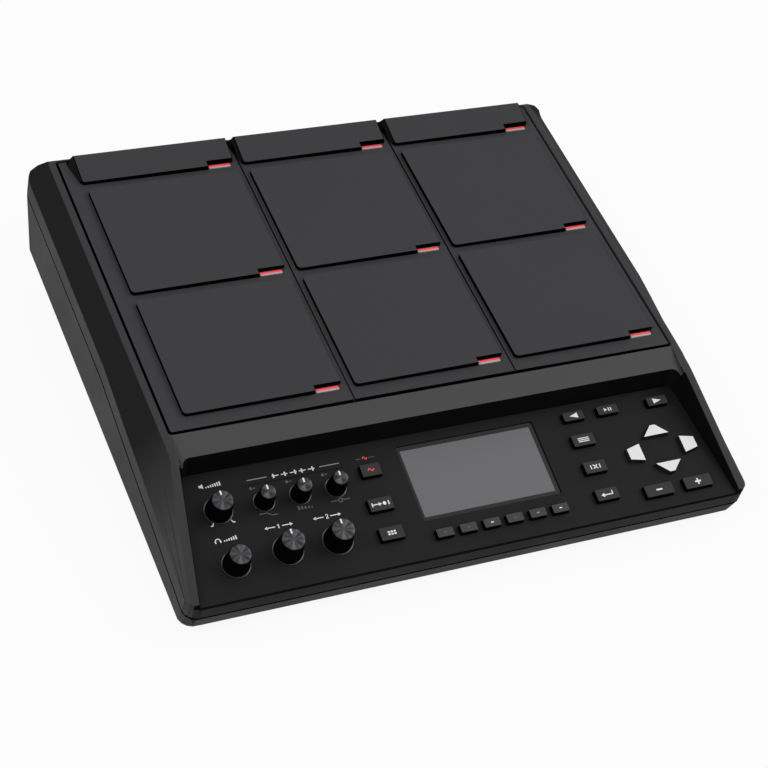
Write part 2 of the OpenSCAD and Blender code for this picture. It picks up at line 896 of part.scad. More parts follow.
module control_panel() {
    through = panel_t + 4;
    color([0.13, 0.13, 0.14])
        on_deck()
            difference() {
                union() {
                    difference() {
                        recess(panel_y + fit_gap, panel_t, -fit_gap);
                        recess_corners(fit_gap);
                        panel_frame()
                            translate([-far / 2, -20, 0])
                                cube([far, panel_len + 60, 60]);
                    }
                    panel_frame()
                        for (p = PANEL_POSTS) {
                            translate([p[0], p[1], -board_drop])
                                cylinder(r = panel_post_r, h = board_drop - panel_t + 0.5);
                        }
                }
                panel_frame()
                    translate([0, 0, -panel_t - 1]) {
                        for (k = BAR_KEYS) {
                            linear_extrude(height = through)
                                bar_key_shape(k, key_gap);
                        }
                        for (k = CURSOR_KEYS) {
                            linear_extrude(height = through)
                                cursor_shape(k, key_gap);
                        }
                        for (k = KNOBS) {
                            translate([k[1], k[2], 0])
                                cylinder(r = bush_r + fit_gap, h = through);
                        }
                        linear_extrude(height = through)
                            translate(window_c)
                                rounded(window_w + 2 * fit_gap, window_d + 2 * fit_gap, 1.5);
                    }
            }
}

module key_stem(x, s) {
    translate([x, s, -stem_end])
        cylinder(r = stem_r, h = stem_end - flange_top);
}

module bar_key(k) {
    color([0.24, 0.24, 0.25])
        on_panel() {
            translate([0, 0, -flange_top - flange_t])
                linear_extrude(height = flange_t + flange_top + key_h)
                    bar_key_shape(k, 0);
            translate([0, 0, -flange_top - flange_t])
                linear_extrude(height = flange_t)
                    bar_key_shape(k, key_gap + key_flange);
            key_stem(k[1], k[2]);
        }
}

module cursor_key(k) {
    c = cursor_at(k);
    color([0.85, 0.85, 0.86])
        on_panel() {
            translate([0, 0, -flange_top - flange_t])
                linear_extrude(height = flange_t + flange_top + key_h)
                    cursor_shape(k, 0);
            translate([0, 0, -flange_top - flange_t])
                linear_extrude(height = flange_t)
                    cursor_shape(k, key_gap + key_flange);
            key_stem(c[0], c[1]);
        }
}

module key_switch(x, s) {
    translate([x, s, -board_drop])
        box([switch_w, switch_w, switch_h]);
    translate([x, s, -board_drop])
        cylinder(r = stem_r, h = board_drop - plunger_top);
}

module key_switches() {
    color([0.3, 0.3, 0.32])
        on_panel() {
            for (k = BAR_KEYS) {
                key_switch(k[1], k[2]);
            }
            for (k = CURSOR_KEYS) {
                key_switch(cursor_at(k)[0], cursor_at(k)[1]);
            }
        }
}

module display_window() {
    color([0.43, 0.43, 0.44])
        on_panel()
            translate([window_c[0], window_c[1], -panel_t])
                linear_extrude(height = panel_t - window_drop)
                    rounded(window_w, window_d, 1.2);
}

module display_module() {
    color([0.2, 0.2, 0.22])
        on_panel()
            translate([window_c[0], window_c[1], -panel_t - module_t])
                box([window_w + 2 * module_margin, window_d + 2 * module_margin, module_t]);
}

module panel_board() {
    color([0.1, 0.3, 0.18])
        on_panel()
            translate([0, panel_len / 2, -board_drop - board_t])
                box([2 * (sheet_x - board_side), panel_len - board_ends, board_t]);
}

module pot_bodies() {
    color([0.35, 0.35, 0.37])
        on_panel()
            for (k = KNOBS) {
                translate([k[1], k[2], 0])
                    difference() {
                        union() {
                            translate([0, 0, -board_drop])
                                box([pot_w, pot_w, board_drop - pot_top]);
                            translate([0, 0, -board_drop])
                                cylinder(r = bush_r, h = board_drop + ring_h);
                        }
                        translate([0, 0, -shaft_low - free_gap])
                            cylinder(r = bush_bore, h = shaft_low + 10);
                    }
            }
}

module knob_rings() {
    color([0.7, 0.7, 0.72])
        on_panel()
            for (k = KNOBS) {
                translate([k[1], k[2], 0])
                    difference() {
                        cylinder(r = k[3] + 0.6, h = ring_h);
                        translate([0, 0, -1])
                            cylinder(r = k[3] - 1.2, h = ring_h + 2);
                    }
            }
}

function shaft_top(k) = k[5] - 3.5;

module knob(k) {
    skirt = 1.4;
    color([0.1, 0.1, 0.1])
        on_panel()
            translate([k[1], k[2], 0])
                rotate_extrude()
                    polygon([[shaft_r + press_gap, knob_lift], [k[3], knob_lift], [k[3], knob_lift + skirt],
                        [k[4] + 0.3, k[5] - 0.5], [k[4], k[5]], [0, k[5]], [0, shaft_top(k) + press_gap],
                        [shaft_r + press_gap, shaft_top(k) + press_gap]]);
}

module knob_shaft(k) {
    color([0.65, 0.65, 0.67])
        on_panel()
            translate([k[1], k[2], -shaft_low])
                cylinder(r = shaft_r, h = shaft_low + shaft_top(k));
}

// Rear panel and boards

module main_board() {
    color([0.1, 0.3, 0.18])
        translate([0, seat_y - main_d / 2 - 0.5, board_z - board_t])
            box([main_w, main_d, board_t]);
}

module at_jacks() {
    for (i = [0 : jack_n - 1]) {
        translate([jack_x0 - i * jack_pitch, seat_y, axis_z])
            children();
    }
}

// Space through the jack plate behind which a housing sits, size across and up
module plate_slot(x, w, h) {
    translate([x, seat_y + jack_t / 2, axis_z - h / 2])
        box([w, jack_t + 4, h]);
}

// Housing on the main board behind the plate, its top `up` above the sockets' axis
module housing(x, w, depth, up) {
    translate([x, seat_y - depth / 2, board_z])
        box([w, depth, axis_z - board_z + up]);
}

usb_host = [13.2, 5.8];
usb_device = [12, 11];
inlet_r = 2.8;

module jack_plate() {
    top_z = joint_z(jack_y - deck_y) - parting_gap - 0.3;
    color([0.16, 0.16, 0.17])
        difference() {
            translate([0, seat_y + jack_t / 2, sill_z])
                box([2 * (bay_x - fit_gap), jack_t, top_z - sill_z]);
            at_jacks()
                translate([0, -1, 0])
                    facing_rear()
                        cylinder(r = jack_r + 1, h = jack_t + 2);
            translate([inlet_x, seat_y - 1, axis_z])
                facing_rear()
                    cylinder(r = inlet_r + 1.4, h = jack_t + 2);
            plate_slot(usb_host_x, usb_host[0] + 2 * fit_gap, usb_host[1] + 2 * fit_gap);
            plate_slot(usb_device_x, usb_device[0] + 2 * fit_gap, usb_device[1] + 2 * fit_gap);
            plate_slot(power_x, power_w + 2 * key_gap, power_w + 2 * key_gap);
        }
}

module jack_sockets() {
    color([0.12, 0.12, 0.13])
        at_jacks()
            difference() {
                translate([0, -jack_body[1] / 2, board_z - axis_z])
                    box(jack_body);
                translate([0, -jack_depth, 0])
                    facing_rear()
                        cylinder(r = jack_r, h = jack_depth + 1);
            }
}

module usb_sockets() {
    shell = 0.5;
    depth = 13;
    color([0.7, 0.7, 0.72]) {
        difference() {
            union() {
                housing(usb_host_x, usb_host[0], depth, -usb_host[1] / 2 + 0.5);
                translate([usb_host_x, seat_y + jack_t / 2 - depth / 2, axis_z - usb_host[1] / 2])
                    box([usb_host[0], depth + jack_t, usb_host[1]]);
            }
            translate([usb_host_x, jack_y - 5, axis_z - usb_host[1] / 2 + shell])
                box([usb_host[0] - 2 * shell, 12, usb_host[1] - 2 * shell]);
        }
        translate([usb_host_x, jack_y - 6.5, axis_z + 0.2])
            box([11, 10, 1.8]);
        difference() {
            union() {
                housing(usb_device_x, usb_device[0], depth, -usb_device[1] / 2 + 0.5);
                translate([usb_device_x, seat_y + jack_t / 2 - depth / 2, axis_z - usb_device[1] / 2])
                    box([usb_device[0], depth + jack_t, usb_device[1]]);
            }
            translate([usb_device_x, jack_y - 5, axis_z - 4])
                box([8.6, 12, 8]);
        }
        translate([usb_device_x, jack_y - 6.5, axis_z - 1.6])
            box([5.6, 10, 3.2]);
    }
}

module dc_inlet() {
    depth = 14;
    color([0.12, 0.12, 0.13]) {
        difference() {
            housing(inlet_x, 9.5, depth, 5);
            translate([inlet_x, seat_y - 10, axis_z])
                facing_rear()
                    cylinder(r = inlet_r, h = 12);
        }
        translate([inlet_x, seat_y - 10.5, axis_z])
            facing_rear()
                cylinder(r = 1, h = 9);
    }
}

power_flange = 1.2;
power_back = free_gap + power_flange;

module power_button() {
    color([0.3, 0.3, 0.31]) {
        translate([power_x, jack_y + 2.5 - (jack_t + power_back + 2.5) / 2, axis_z - power_w / 2])
            box([power_w, jack_t + power_back + 2.5, power_w]);
        translate([power_x, seat_y - free_gap - power_flange / 2, axis_z - power_w / 2 - 1.2])
            box([power_w + 2.4, power_flange, power_w + 2.4]);
    }
}

module power_switch() {
    start = power_back + power_travel + free_gap;
    color([0.12, 0.12, 0.13]) {
        translate([power_x, -start - 3, 0])
            housing(0, 11, 12, 5.5);
        translate([power_x, seat_y - start - 3.5, axis_z])
            facing_rear()
                cylinder(r = 1.6, h = 3.5);
    }
}

bottom_case();
top_case();
control_panel();
pad_sheet();
pad_plate();
pad_sensors();
sensor_cushions();
pad_lights();
display_window();
display_module();
panel_board();
key_switches();
pot_bodies();
knob_rings();
main_board();
jack_plate();
jack_sockets();
usb_sockets();
dc_inlet();
power_switch();
power_button();
case_screws();
rubber_feet();
stand_inserts();
for (k = KNOBS) {
    knob(k);
    knob_shaft(k);
}
for (k = BAR_KEYS) {
    bar_key(k);
}
for (k = CURSOR_KEYS) {
    cursor_key(k);
}
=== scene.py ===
"""Finished pieces and materials of a sampling drum pad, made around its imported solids.

Each operator makes one piece, or one group of like pieces, and the last one sets up the stage.
"""

import math

import bmesh
import bpy
from bpy.props import FloatProperty, FloatVectorProperty, PointerProperty
from mathutils import Matrix, Quaternion, Vector
from mathutils.bvhtree import BVHTree


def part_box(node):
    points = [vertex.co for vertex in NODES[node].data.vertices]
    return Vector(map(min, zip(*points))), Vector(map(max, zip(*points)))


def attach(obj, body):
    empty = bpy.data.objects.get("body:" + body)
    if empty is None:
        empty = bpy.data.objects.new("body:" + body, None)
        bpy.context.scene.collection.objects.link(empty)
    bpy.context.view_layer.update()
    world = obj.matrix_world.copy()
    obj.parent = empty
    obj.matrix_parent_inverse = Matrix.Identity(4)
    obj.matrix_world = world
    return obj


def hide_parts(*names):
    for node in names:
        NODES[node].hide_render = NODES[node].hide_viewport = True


bl_info = {
    "name": "Sampling Drum Pad",
    "version": (1, 0, 0),
    "blender": (4, 5, 0),
    "location": "View3D > Sidebar > Drum Pad",
    "description": "Makes the finished pieces and materials of a sampling drum pad",
    "category": "Object",
}

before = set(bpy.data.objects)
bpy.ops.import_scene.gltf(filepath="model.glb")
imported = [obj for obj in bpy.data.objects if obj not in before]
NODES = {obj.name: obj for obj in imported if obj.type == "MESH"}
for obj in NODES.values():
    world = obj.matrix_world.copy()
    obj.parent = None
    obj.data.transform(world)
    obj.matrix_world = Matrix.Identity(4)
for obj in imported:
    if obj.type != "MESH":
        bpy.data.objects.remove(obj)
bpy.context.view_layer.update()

MM = 0.001
# Distances within which points are merged, and within which they count as level
WELD = 0.002 * MM
LEVEL = 0.01 * MM
# Grain size and depth of the matt mouldings and of the keys
MATT_GRAIN = (0.45 * MM, 0.02 * MM)
KEY_GRAIN = (0.4 * MM, 0.012 * MM)
# Steps of a full turn
KNOB_STEPS = 96
NUT_STEPS = 48
CUSHION_STEPS = 40

# The deck starts at the middle of the pads' front edge, and the panel at the middle of its own front edge
DECK_PLACE = (0, -0.0705675, 0.0716948)
DECK_TILT = math.radians(4)
PANEL_PLACE = (0, -0.1023, -0.0365)
PANEL_SLOPE = math.radians(9.8)
DECK = Matrix.Translation(DECK_PLACE) @ Matrix.Rotation(DECK_TILT, 4, "X")
PANEL = DECK @ Matrix.Translation(PANEL_PLACE) @ Matrix.Rotation(PANEL_SLOPE, 4, "X")

FIRST_SOCKET = 48
SOCKET_PITCH = 26
SOCKET_COUNT = 8
SOCKET_HEIGHT = 39 * MM
SOCKET_RADIUS = 3.5 * MM
SOCKETS = [(FIRST_SOCKET - SOCKET_PITCH * i) * MM for i in range(SOCKET_COUNT)]

KNOBS = (
    "master_knob", "phones_knob", "effect_knob_1", "effect_knob_2", "effect_knob_3",
    "control_knob_1", "control_knob_2",
)
# Widest cap of a small knob, as a radius
SMALL_CAP = 5 * MM
CURSOR_KEYS = ("cursor_up_key", "cursor_left_key", "cursor_down_key", "cursor_right_key")


def shade(*display):
    """Scene linear colour of a display colour given as 0 to 255."""
    unit = [c / 255 for c in display]
    return tuple(c / 12.92 if c <= 0.04045 else ((c + 0.055) / 1.055) ** 2.4 for c in unit)


def colour(name, thing, display):
    """Colour property of a thing, whose default is a display colour."""
    return FloatVectorProperty(
        name=name, description="Colour of " + thing, default=shade(*display), min=0, max=1,
        size=3, subtype="COLOR",
    )


def length(name, description, default):
    """Length property in metres."""
    return FloatProperty(
        name=name, description=description, default=default, min=0, precision=5,
        unit="LENGTH", subtype="DISTANCE",
    )


def amount(name, description, default, least=0, **fields):
    """Number property."""
    return FloatProperty(name=name, description=description, default=default, min=least, **fields)


class CaseSettings(bpy.types.PropertyGroup):
    """Sizes and colours of the two cases."""

    shell: colour("Shell", "the moulded cases", (52, 52, 54))
    # Slope is the shell's plastic made lighter on the strip that faces the front: painted light.
    slope: colour("Slope", "the slope strip before the pads", (69, 69, 70))
    # Front is a darker copy of the cases' plastic on the faces that look forward: painted shade.
    front: colour("Front", "the bands of the front edge", (25, 25, 26))
    # Side is a darker copy of the cases' plastic on their side walls: painted shade.
    side: colour("Side", "the side walls", (40, 40, 41))
    chamfer: colour("Chamfer", "the dark chamfers outside the rails", (34, 34, 35))
    # Chamfer highlight is a lighter colour blended in towards the chamfers' front ends: a painted highlight.
    chamfer_highlight: colour("Chamfer front", "the chamfers at their front ends", (70, 70, 71))
    # Recess is near black: painted shade on the recess's walls, the rails' inner edges, the lip's top, the
    # groove under the lip, the seams, the panel's hole walls and the groove line over the small knobs.
    recess: colour("Recess", "the recess's walls and of the seams", (15, 15, 16))
    edge: length("Edge", "Rounding of the cases' edges", 0.5 * MM)
    seam: length("Seam", "Width of the dark bevel along the parting line", 0.8 * MM)
    groove: length("Groove", "Width of the bevel under the front lip", 1.0 * MM)
    grain: length("Grain", "Grain size of the moulded texture", 0.7 * MM)
    relief: length("Relief", "Depth of the moulded texture", 0.03 * MM)


class PadSettings(bpy.types.PropertyGroup):
    """Sizes and colours of the pads and their lights."""

    rubber: colour("Rubber", "the pads' tops", (57, 57, 59))
    # Wall and End are darker colours on the pads' sides and on the edge pads' sloping ends: painted shade.
    wall_shade: colour("Wall", "the pads' side walls", (4, 4, 4))
    end: colour("End", "the edge pads' sloping ends", (24, 24, 25))
    light: colour("Light", "the light bars", (226, 58, 62))
    diffuser: colour("Diffuser", "the light bars' front strips", (168, 164, 164))
    lens_shift: length("Lens shift", "How far the red lens reaches past the light bars' middle", 0.25 * MM)
    edge: length("Edge", "Rounding of the pads' edges", 0.55 * MM)
    glow: amount("Glow", "Light given off by the light bars", 0.35, max=5)


class PanelSettings(bpy.types.PropertyGroup):
    """Sizes and colours of the control panel, its marks and its display."""

    plate: colour("Plate", "the panel", (24, 24, 25))
    mark: colour("Mark", "the printed marks", (235, 235, 235))
    dim: colour("Dim mark", "the faint marks", (84, 84, 85))
    grey: colour("Grey mark", "the half bright marks", (150, 150, 151))
    red: colour("Red mark", "the effect key's marks", (235, 75, 75))
    bezel: colour("Bezel", "the display's bezel", (38, 38, 39))
    screen: colour("Screen", "the display's screen", (108, 108, 111))
    ink: length("Ink", "Thickness of the printed marks", 0.05 * MM)
    window_corner: length("Window corner", "Corner radius of the display's bezel", 1.5 * MM)
    screen_width: length("Screen width", "Width of the display's screen", 92 * MM)
    screen_depth: length("Screen depth", "Depth of the display's screen", 47.4 * MM)
    screen_x: length("Screen place", "Sideways place of the screen's middle", 16.5 * MM)
    screen_y: length("Screen distance", "Screen's middle, from the panel's front edge", 51.7 * MM)


class ControlSettings(bpy.types.PropertyGroup):
    """Sizes and colours of the keys and knobs."""

    key: colour("Key", "the key tops", (46, 46, 48))
    function: colour("Function key", "the function keys' tops", (62, 62, 63))
    # Key side is near black: painted shade on the keys' sides, and the sockets' own black plastic.
    side: colour("Key side", "the keys' sides", (5, 5, 5))
    cursor: colour("Cursor key", "the cursor keys' tops", (232, 232, 233))
    cursor_side: colour("Cursor side", "the cursor keys' sides", (26, 26, 27))
    knob: colour("Knob", "the knobs' sides", (4, 4, 4))
    cap: colour("Cap", "the knobs' spun caps", (64, 64, 66))
    ring: colour("Ring", "the thin rings at the knobs' feet", (96, 96, 98))
    edge: length("Edge", "Rounding of the keys' upper edges", 0.25 * MM)
    pointer: length("Pointer", "Width of the knobs' pointers", 1.0 * MM)


class RearSettings(bpy.types.PropertyGroup):
    """Sizes and colours of the rear panel and the underside."""

    plate: colour("Plate", "the jack plate", (30, 30, 31))
    nut: colour("Nut", "the sockets' nuts", (150, 150, 152))
    rubber: colour("Rubber", "the feet", (18, 18, 18))
    nut_width: length("Nut width", "Width of the sockets' nuts", 2.2 * MM)
    nut_height: length("Nut height", "Height of the sockets' nuts", 0.9 * MM)


class StageSettings(bpy.types.PropertyGroup):
    """Floor, light and camera."""

    floor: colour("Floor", "the floor", (236, 236, 236))
    fill: amount("Fill", "Strength of the light from all round", 0.54, max=4)
    key: amount("Key", "Power of the lamp at the left", 11, unit="POWER")
    side: amount("Side", "Power of the wide lamp at the right", 14, unit="POWER")
    lens: amount("Lens", "Focal length of the camera", 96, 1, unit="CAMERA")


# Materials


def new_node(tree, kind, values=None, **fields):
    """Shader node of a kind, with its fields and its unlinked inputs set."""
    made = tree.nodes.new("ShaderNode" + kind)
    for key, value in fields.items():
        setattr(made, key, value)
    for key, value in (values or {}).items():
        made.inputs[key].default_value = value
    return made


def join(tree, *links):
    """Links outputs to inputs, each link given as node, output, node, input."""
    for start, output, end, entry in links:
        tree.links.new(start.outputs[output], end.inputs[entry])


def bare_material(name, values=None):
    """Node material that holds one Principled shader, with some of its inputs set."""
    made = bpy.data.materials.new(name)
    made.use_nodes = True
    out = made.node_tree.nodes["Principled BSDF"]
    for key, value in (values or {}).items():
        out.inputs[key].default_value = value
    return made, made.node_tree, out


def two_tone(tree, tone, low, high, ends=(0, 1)):
    """Ramp from a darker to a lighter form of a colour."""
    ramp = new_node(tree, "ValToRGB")
    for stop, spot, gain in zip(ramp.color_ramp.elements, ends, (low, high)):
        stop.position = spot
        stop.color = [min(1, c * gain) for c in tone] + [1]
    return ramp


def surface(
    name, tone, rough, grain=0.5 * MM, relief=0.02 * MM, tint=0.08, spread=0.06, patch=22.0,
    gloss=0.5, metal=0.0,
):
    """Material with a fine relief, and with colour and roughness that vary a little over the surface."""
    made, tree, out = bare_material(name, {"Specular IOR Level": gloss, "Metallic": metal})
    place = new_node(tree, "TexCoord")
    fine = new_node(tree, "TexNoise", {"Scale": 1 / grain, "Detail": 3.0, "Roughness": 0.6})
    broad = new_node(tree, "TexNoise", {"Scale": patch, "Detail": 4.0, "Roughness": 0.55})
    half = new_node(tree, "Math", {1: 0.5}, operation="MULTIPLY")
    blend = new_node(tree, "Math", {1: 0.5}, operation="MULTIPLY_ADD")
    ramp = two_tone(tree, tone, 1 - tint, 1 + tint, (0.25, 0.75))
    ends = {"From Min": 0.3, "From Max": 0.7, "To Min": rough - spread, "To Max": rough + spread}
    polish = new_node(tree, "MapRange", ends)
    bump = new_node(tree, "Bump", {"Strength": 1.0, "Distance": relief})
    join(
        tree,
        (place, "Object", fine, "Vector"), (place, "Object", broad, "Vector"),
        (fine, "Fac", blend, 0), (broad, "Fac", half, 0), (half, 0, blend, 2),
        (blend, 0, ramp, "Fac"), (ramp, "Color", out, "Base Color"),
        (broad, "Fac", polish, "Value"), (polish, "Result", out, "Roughness"),
        (fine, "Fac", bump, "Height"), (bump, "Normal", out, "Normal"),
    )
    return made


def moulded(case, name, tone, rough, gloss, depth=1):
    """Textured plastic of the cases."""
    return surface(name, tone, rough, case.grain, case.relief * depth, gloss=gloss)


def printed(name, tone, rough=0.6, tint=0.03):
    """Thin printed ink."""
    return surface(name, tone, rough, 0.2 * MM, 0.004 * MM, tint, 0.05, 60.0)


def fade(made, tone, start, end):
    """Blends a material into a second colour along Y; on the chamfers this paints a highlight."""
    tree = made.node_tree
    base = tree.nodes["Principled BSDF"].inputs["Base Color"]
    first = base.links[0].from_socket
    place = new_node(tree, "TexCoord")
    parts = new_node(tree, "SeparateXYZ")
    share = new_node(tree, "MapRange", {"From Min": start, "From Max": end})
    mix = new_node(tree, "Mix", {7: (*tone, 1)}, data_type="RGBA")
    join(
        tree,
        (place, "Object", parts, "Vector"), (parts, "Y", share, "Value"), (share, "Result", mix, "Factor"),
    )
    tree.links.new(first, mix.inputs[6])
    tree.links.new(mix.outputs[2], base)


def spun_metal(name, tone, sectors):
    """Metal turned on a lathe, with fine grooves, and with broad sectors of painted reflection that lighten
    and darken its colour along the UV map.
    """
    made, tree, out = bare_material(name, {"Metallic": 1.0, "Roughness": 0.34, "Anisotropic": 0.85})
    uv = new_node(tree, "UVMap", uv_map="spin")
    stretch = new_node(tree, "Mapping", {"Scale": (4.0, 6000.0, 1.0)})
    groove = new_node(tree, "TexNoise", {"Scale": 1.0, "Detail": 2.0, "Roughness": 0.5})
    parts = new_node(tree, "SeparateXYZ")
    # Waves round the cap make its colour lighter and darker in sectors: a painted reflection.
    level = groove.outputs["Fac"]
    for count, share in sectors:
        waves = {1: 2 * math.pi * count, 2: 0.7 * count}
        turn = new_node(tree, "Math", waves, operation="MULTIPLY_ADD")
        wave = new_node(tree, "Math", operation="SINE")
        added = new_node(tree, "Math", {1: share}, operation="MULTIPLY_ADD")
        join(tree, (parts, "X", turn, 0), (turn, 0, wave, 0), (wave, 0, added, 0))
        tree.links.new(level, added.inputs[2])
        level = added.outputs[0]
    ramp = two_tone(tree, tone, 0.5, 1.6)
    bump = new_node(tree, "Bump", {"Strength": 0.35, "Distance": 0.01 * MM})
    tangent = new_node(tree, "Tangent", direction_type="UV_MAP", uv_map="spin")
    tree.links.new(level, ramp.inputs["Fac"])
    join(
        tree,
        (uv, "UV", stretch, "Vector"), (uv, "UV", parts, "Vector"), (stretch, "Vector", groove, "Vector"),
        (ramp, "Color", out, "Base Color"), (groove, "Fac", bump, "Height"), (bump, "Normal", out, "Normal"),
        (tangent, "Tangent", out, "Tangent"),
    )
    return made


def lit_bar(name, tone, glow):
    """Translucent bar lit from inside."""
    made = surface(name, tone, 0.35, 0.4 * MM, 0.008 * MM, 0.06, 0.05, 90.0)
    out = made.node_tree.nodes["Principled BSDF"]
    out.inputs["Emission Color"].default_value = (*tone, 1)
    out.inputs["Emission Strength"].default_value = glow
    return made


def pixel_screen(name, tone):
    """Display surface with a faint grid of picture elements."""
    made, tree, out = bare_material(name, {"Roughness": 0.45, "Specular IOR Level": 0.15})
    place = new_node(tree, "TexCoord")
    lie = {"Location": PANEL.to_translation(), "Rotation": PANEL.to_euler()}
    turned = new_node(tree, "Mapping", lie, vector_type="TEXTURE")
    pitch = {"Scale": 1 / (0.38 * MM) / 20, "Distortion": 0.0}
    across = new_node(tree, "TexWave", pitch, bands_direction="X")
    along = new_node(tree, "TexWave", pitch, bands_direction="Y")
    grid = new_node(tree, "Math", operation="MULTIPLY")
    ramp = two_tone(tree, tone, 0.975, 1.01)
    join(
        tree,
        (place, "Object", turned, "Vector"),
        (turned, "Vector", across, "Vector"), (turned, "Vector", along, "Vector"),
        (across, "Fac", grid, 0), (along, "Fac", grid, 1), (grid, 0, ramp, "Fac"),
        (ramp, "Color", out, "Base Color"),
    )
    return made


def circuit_board(name, tone):
    """Coated board with the faint copper traces under its coat."""
    made, tree, out = bare_material(name, {"Roughness": 0.38})
    place = new_node(tree, "TexCoord")
    cells = new_node(tree, "TexBrick", {
        "Scale": 60.0, "Mortar Size": 0.03, "Brick Width": 0.9, "Color1": (*tone, 1),
        "Color2": (*[c * 0.85 for c in tone], 1), "Mortar": (*[min(1, c * 1.6 + 0.01) for c in tone], 1),
    })
    bump = new_node(tree, "Bump", {"Strength": 0.5, "Distance": 0.03 * MM})
    join(
        tree,
        (place, "Object", cells, "Vector"), (cells, "Color", out, "Base Color"),
        (cells, "Fac", bump, "Height"), (bump, "Normal", out, "Normal"),
    )
    return made


# Meshes


def outward(work):
    """Turns all faces outwards."""
    bmesh.ops.recalc_face_normals(work, faces=work.faces)


def above(low, high, height):
    """Place on the panel over the middle of a box."""
    return PANEL @ Matrix.Translation(((low.x + high.x) / 2, (low.y + high.y) / 2, height))


def node_copy(name):
    """Copy of a solid's mesh with its doubles merged and its flat faces joined."""
    work = bmesh.new()
    work.from_mesh(NODES[name].data)
    bmesh.ops.remove_doubles(work, verts=work.verts, dist=WELD)
    bmesh.ops.dissolve_limit(work, angle_limit=math.radians(1.5), verts=work.verts, edges=work.edges)
    outward(work)
    work.normal_update()
    return work


def round_edges(work, edges, width, segments=2):
    """Rounds the given edges."""
    bmesh.ops.bevel(
        work, geom=edges, offset=width, offset_type="OFFSET", segments=segments, profile=0.5,
        affect="EDGES", material=-1, clamp_overlap=False,
    )
    work.normal_update()


def outer_edges(work, angle, least):
    """Convex edges that face open space, of at least a bend in degrees and a length."""
    tree = BVHTree.FromBMesh(work)
    found = []
    for edge in work.edges:
        if len(edge.link_faces) != 2 or edge.calc_length() < least:
            continue
        if edge.calc_face_angle_signed(0) < math.radians(angle):
            continue
        out = (edge.link_faces[0].normal + edge.link_faces[1].normal).normalized()
        start = (edge.verts[0].co + edge.verts[1].co) / 2 + out * 0.1 * MM
        if tree.ray_cast(start, out, 1.0)[0] is None:
            found.append(edge)
    return found


def rounded_copy(name, angle, least, width, segments=2):
    """Copy of a solid with its outer edges rounded."""
    work = node_copy(name)
    round_edges(work, outer_edges(work, angle, least), width, segments)
    return work


def rim_edges(work, back, height, angle=0.5):
    """Edges round the flat faces at a height of a place, which is given by its inverse."""
    level = {vert for vert in work.verts if abs((back @ vert.co).z - height) < LEVEL}
    return [e for e in work.edges if level.issuperset(e.verts) and e.calc_face_angle(0) > angle]


def islands(work):
    """Groups of joined vertices."""
    left = set(work.verts)
    groups = []
    while left:
        stack = [left.pop()]
        group = []
        while stack:
            vert = stack.pop()
            group.append(vert)
            for edge in vert.link_edges:
                other = edge.other_vert(vert)
                if other in left:
                    left.remove(other)
                    stack.append(other)
        groups.append(group)
    return groups


def local_box(name, place):
    """Lowest and highest corner of a solid in the directions of a place."""
    back = place.inverted()
    spots = [back @ v.co for v in NODES[name].data.vertices]
    low, high = [Vector([pick(p[i] for p in spots) for i in range(3)]) for pick in (min, max)]
    return low, high


def thicken(work, faces, rise):
    """Extrudes flat faces into a closed plate."""
    raised = bmesh.ops.extrude_face_region(work, geom=faces)["geom"]
    tops = [item for item in raised if isinstance(item, bmesh.types.BMVert)]
    bmesh.ops.translate(work, verts=tops, vec=rise)
    return tops


def spun(work, profile, steps, place, slots, layer=None):
    """Turns a profile of [radius, height] points about the local Z axis of a place, with one slot a band."""
    old = set(work.faces)
    verts = [work.verts.new(place @ Vector((radius, 0, height))) for radius, height in profile]
    edges = [work.edges.new(pair) for pair in zip(verts, verts[1:])]
    bmesh.ops.spin(
        work, geom=verts + edges, cent=place.to_translation(), axis=place.to_3x3() @ Vector((0, 0, 1)),
        angle=2 * math.pi, steps=steps, use_merge=True,
    )
    bmesh.ops.remove_doubles(work, verts=work.verts, dist=WELD)
    back = place.inverted()
    run = [0.0]
    for a, b in zip(profile, profile[1:]):
        run.append(run[-1] + math.dist(a, b))
    middles = [((a[0] + b[0]) / 2, (a[1] + b[1]) / 2) for a, b in zip(profile, profile[1:])]
    for face in work.faces:
        if face in old:
            continue
        spots = [back @ v.co for v in face.verts]
        rings = [(p.xy.length, p.z) for p in spots]
        centre = [(min(r[i] for r in rings) + max(r[i] for r in rings)) / 2 for i in range(2)]
        band = min(range(len(middles)), key=lambda i: math.dist(middles[i], centre))
        face.material_index = slots[band]
        if layer:
            first = math.atan2(sum(p.y for p in spots), sum(p.x for p in spots))
            for loop, spot, ring in zip(face.loops, spots, rings):
                turn = (math.atan2(spot.y, spot.x) - first + math.pi) % (2 * math.pi) - math.pi
                near = min(range(len(profile)), key=lambda i: math.dist(profile[i], ring))
                loop[layer].uv = ((first + (turn if ring[0] > LEVEL else 0)) / (2 * math.pi), run[near])


def placed(name, work, materials):
    """Object of a mesh in the scene."""
    mesh = bpy.data.meshes.new(name)
    work.to_mesh(mesh)
    work.free()
    for material in materials:
        mesh.materials.append(material)
    made = bpy.data.objects.new(name, mesh)
    bpy.context.scene.collection.objects.link(made)
    return made


def piece(name, work, materials, body, replaced=(), sharp=32.0, weighted=True):
    """Finished object, which rides on a body and may stand for solids."""
    made = placed(name, work, materials)
    made.data.shade_smooth()
    made.data.set_sharp_from_angle(angle=math.radians(sharp))
    if weighted:
        flat = made.modifiers.new("even_shading", "WEIGHTED_NORMAL")
        flat.keep_sharp = True
    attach(made, body)
    if replaced:
        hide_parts(*replaced)
    return made


def dress(made, *names):
    """Gives a material to solids that stay."""
    for name in names:
        mesh = NODES[name].data
        mesh.materials.clear()
        mesh.materials.append(made)


# Marks

# Height at which a plate's print starts, just under the plate's face
INK_LOW = -0.02 * MM


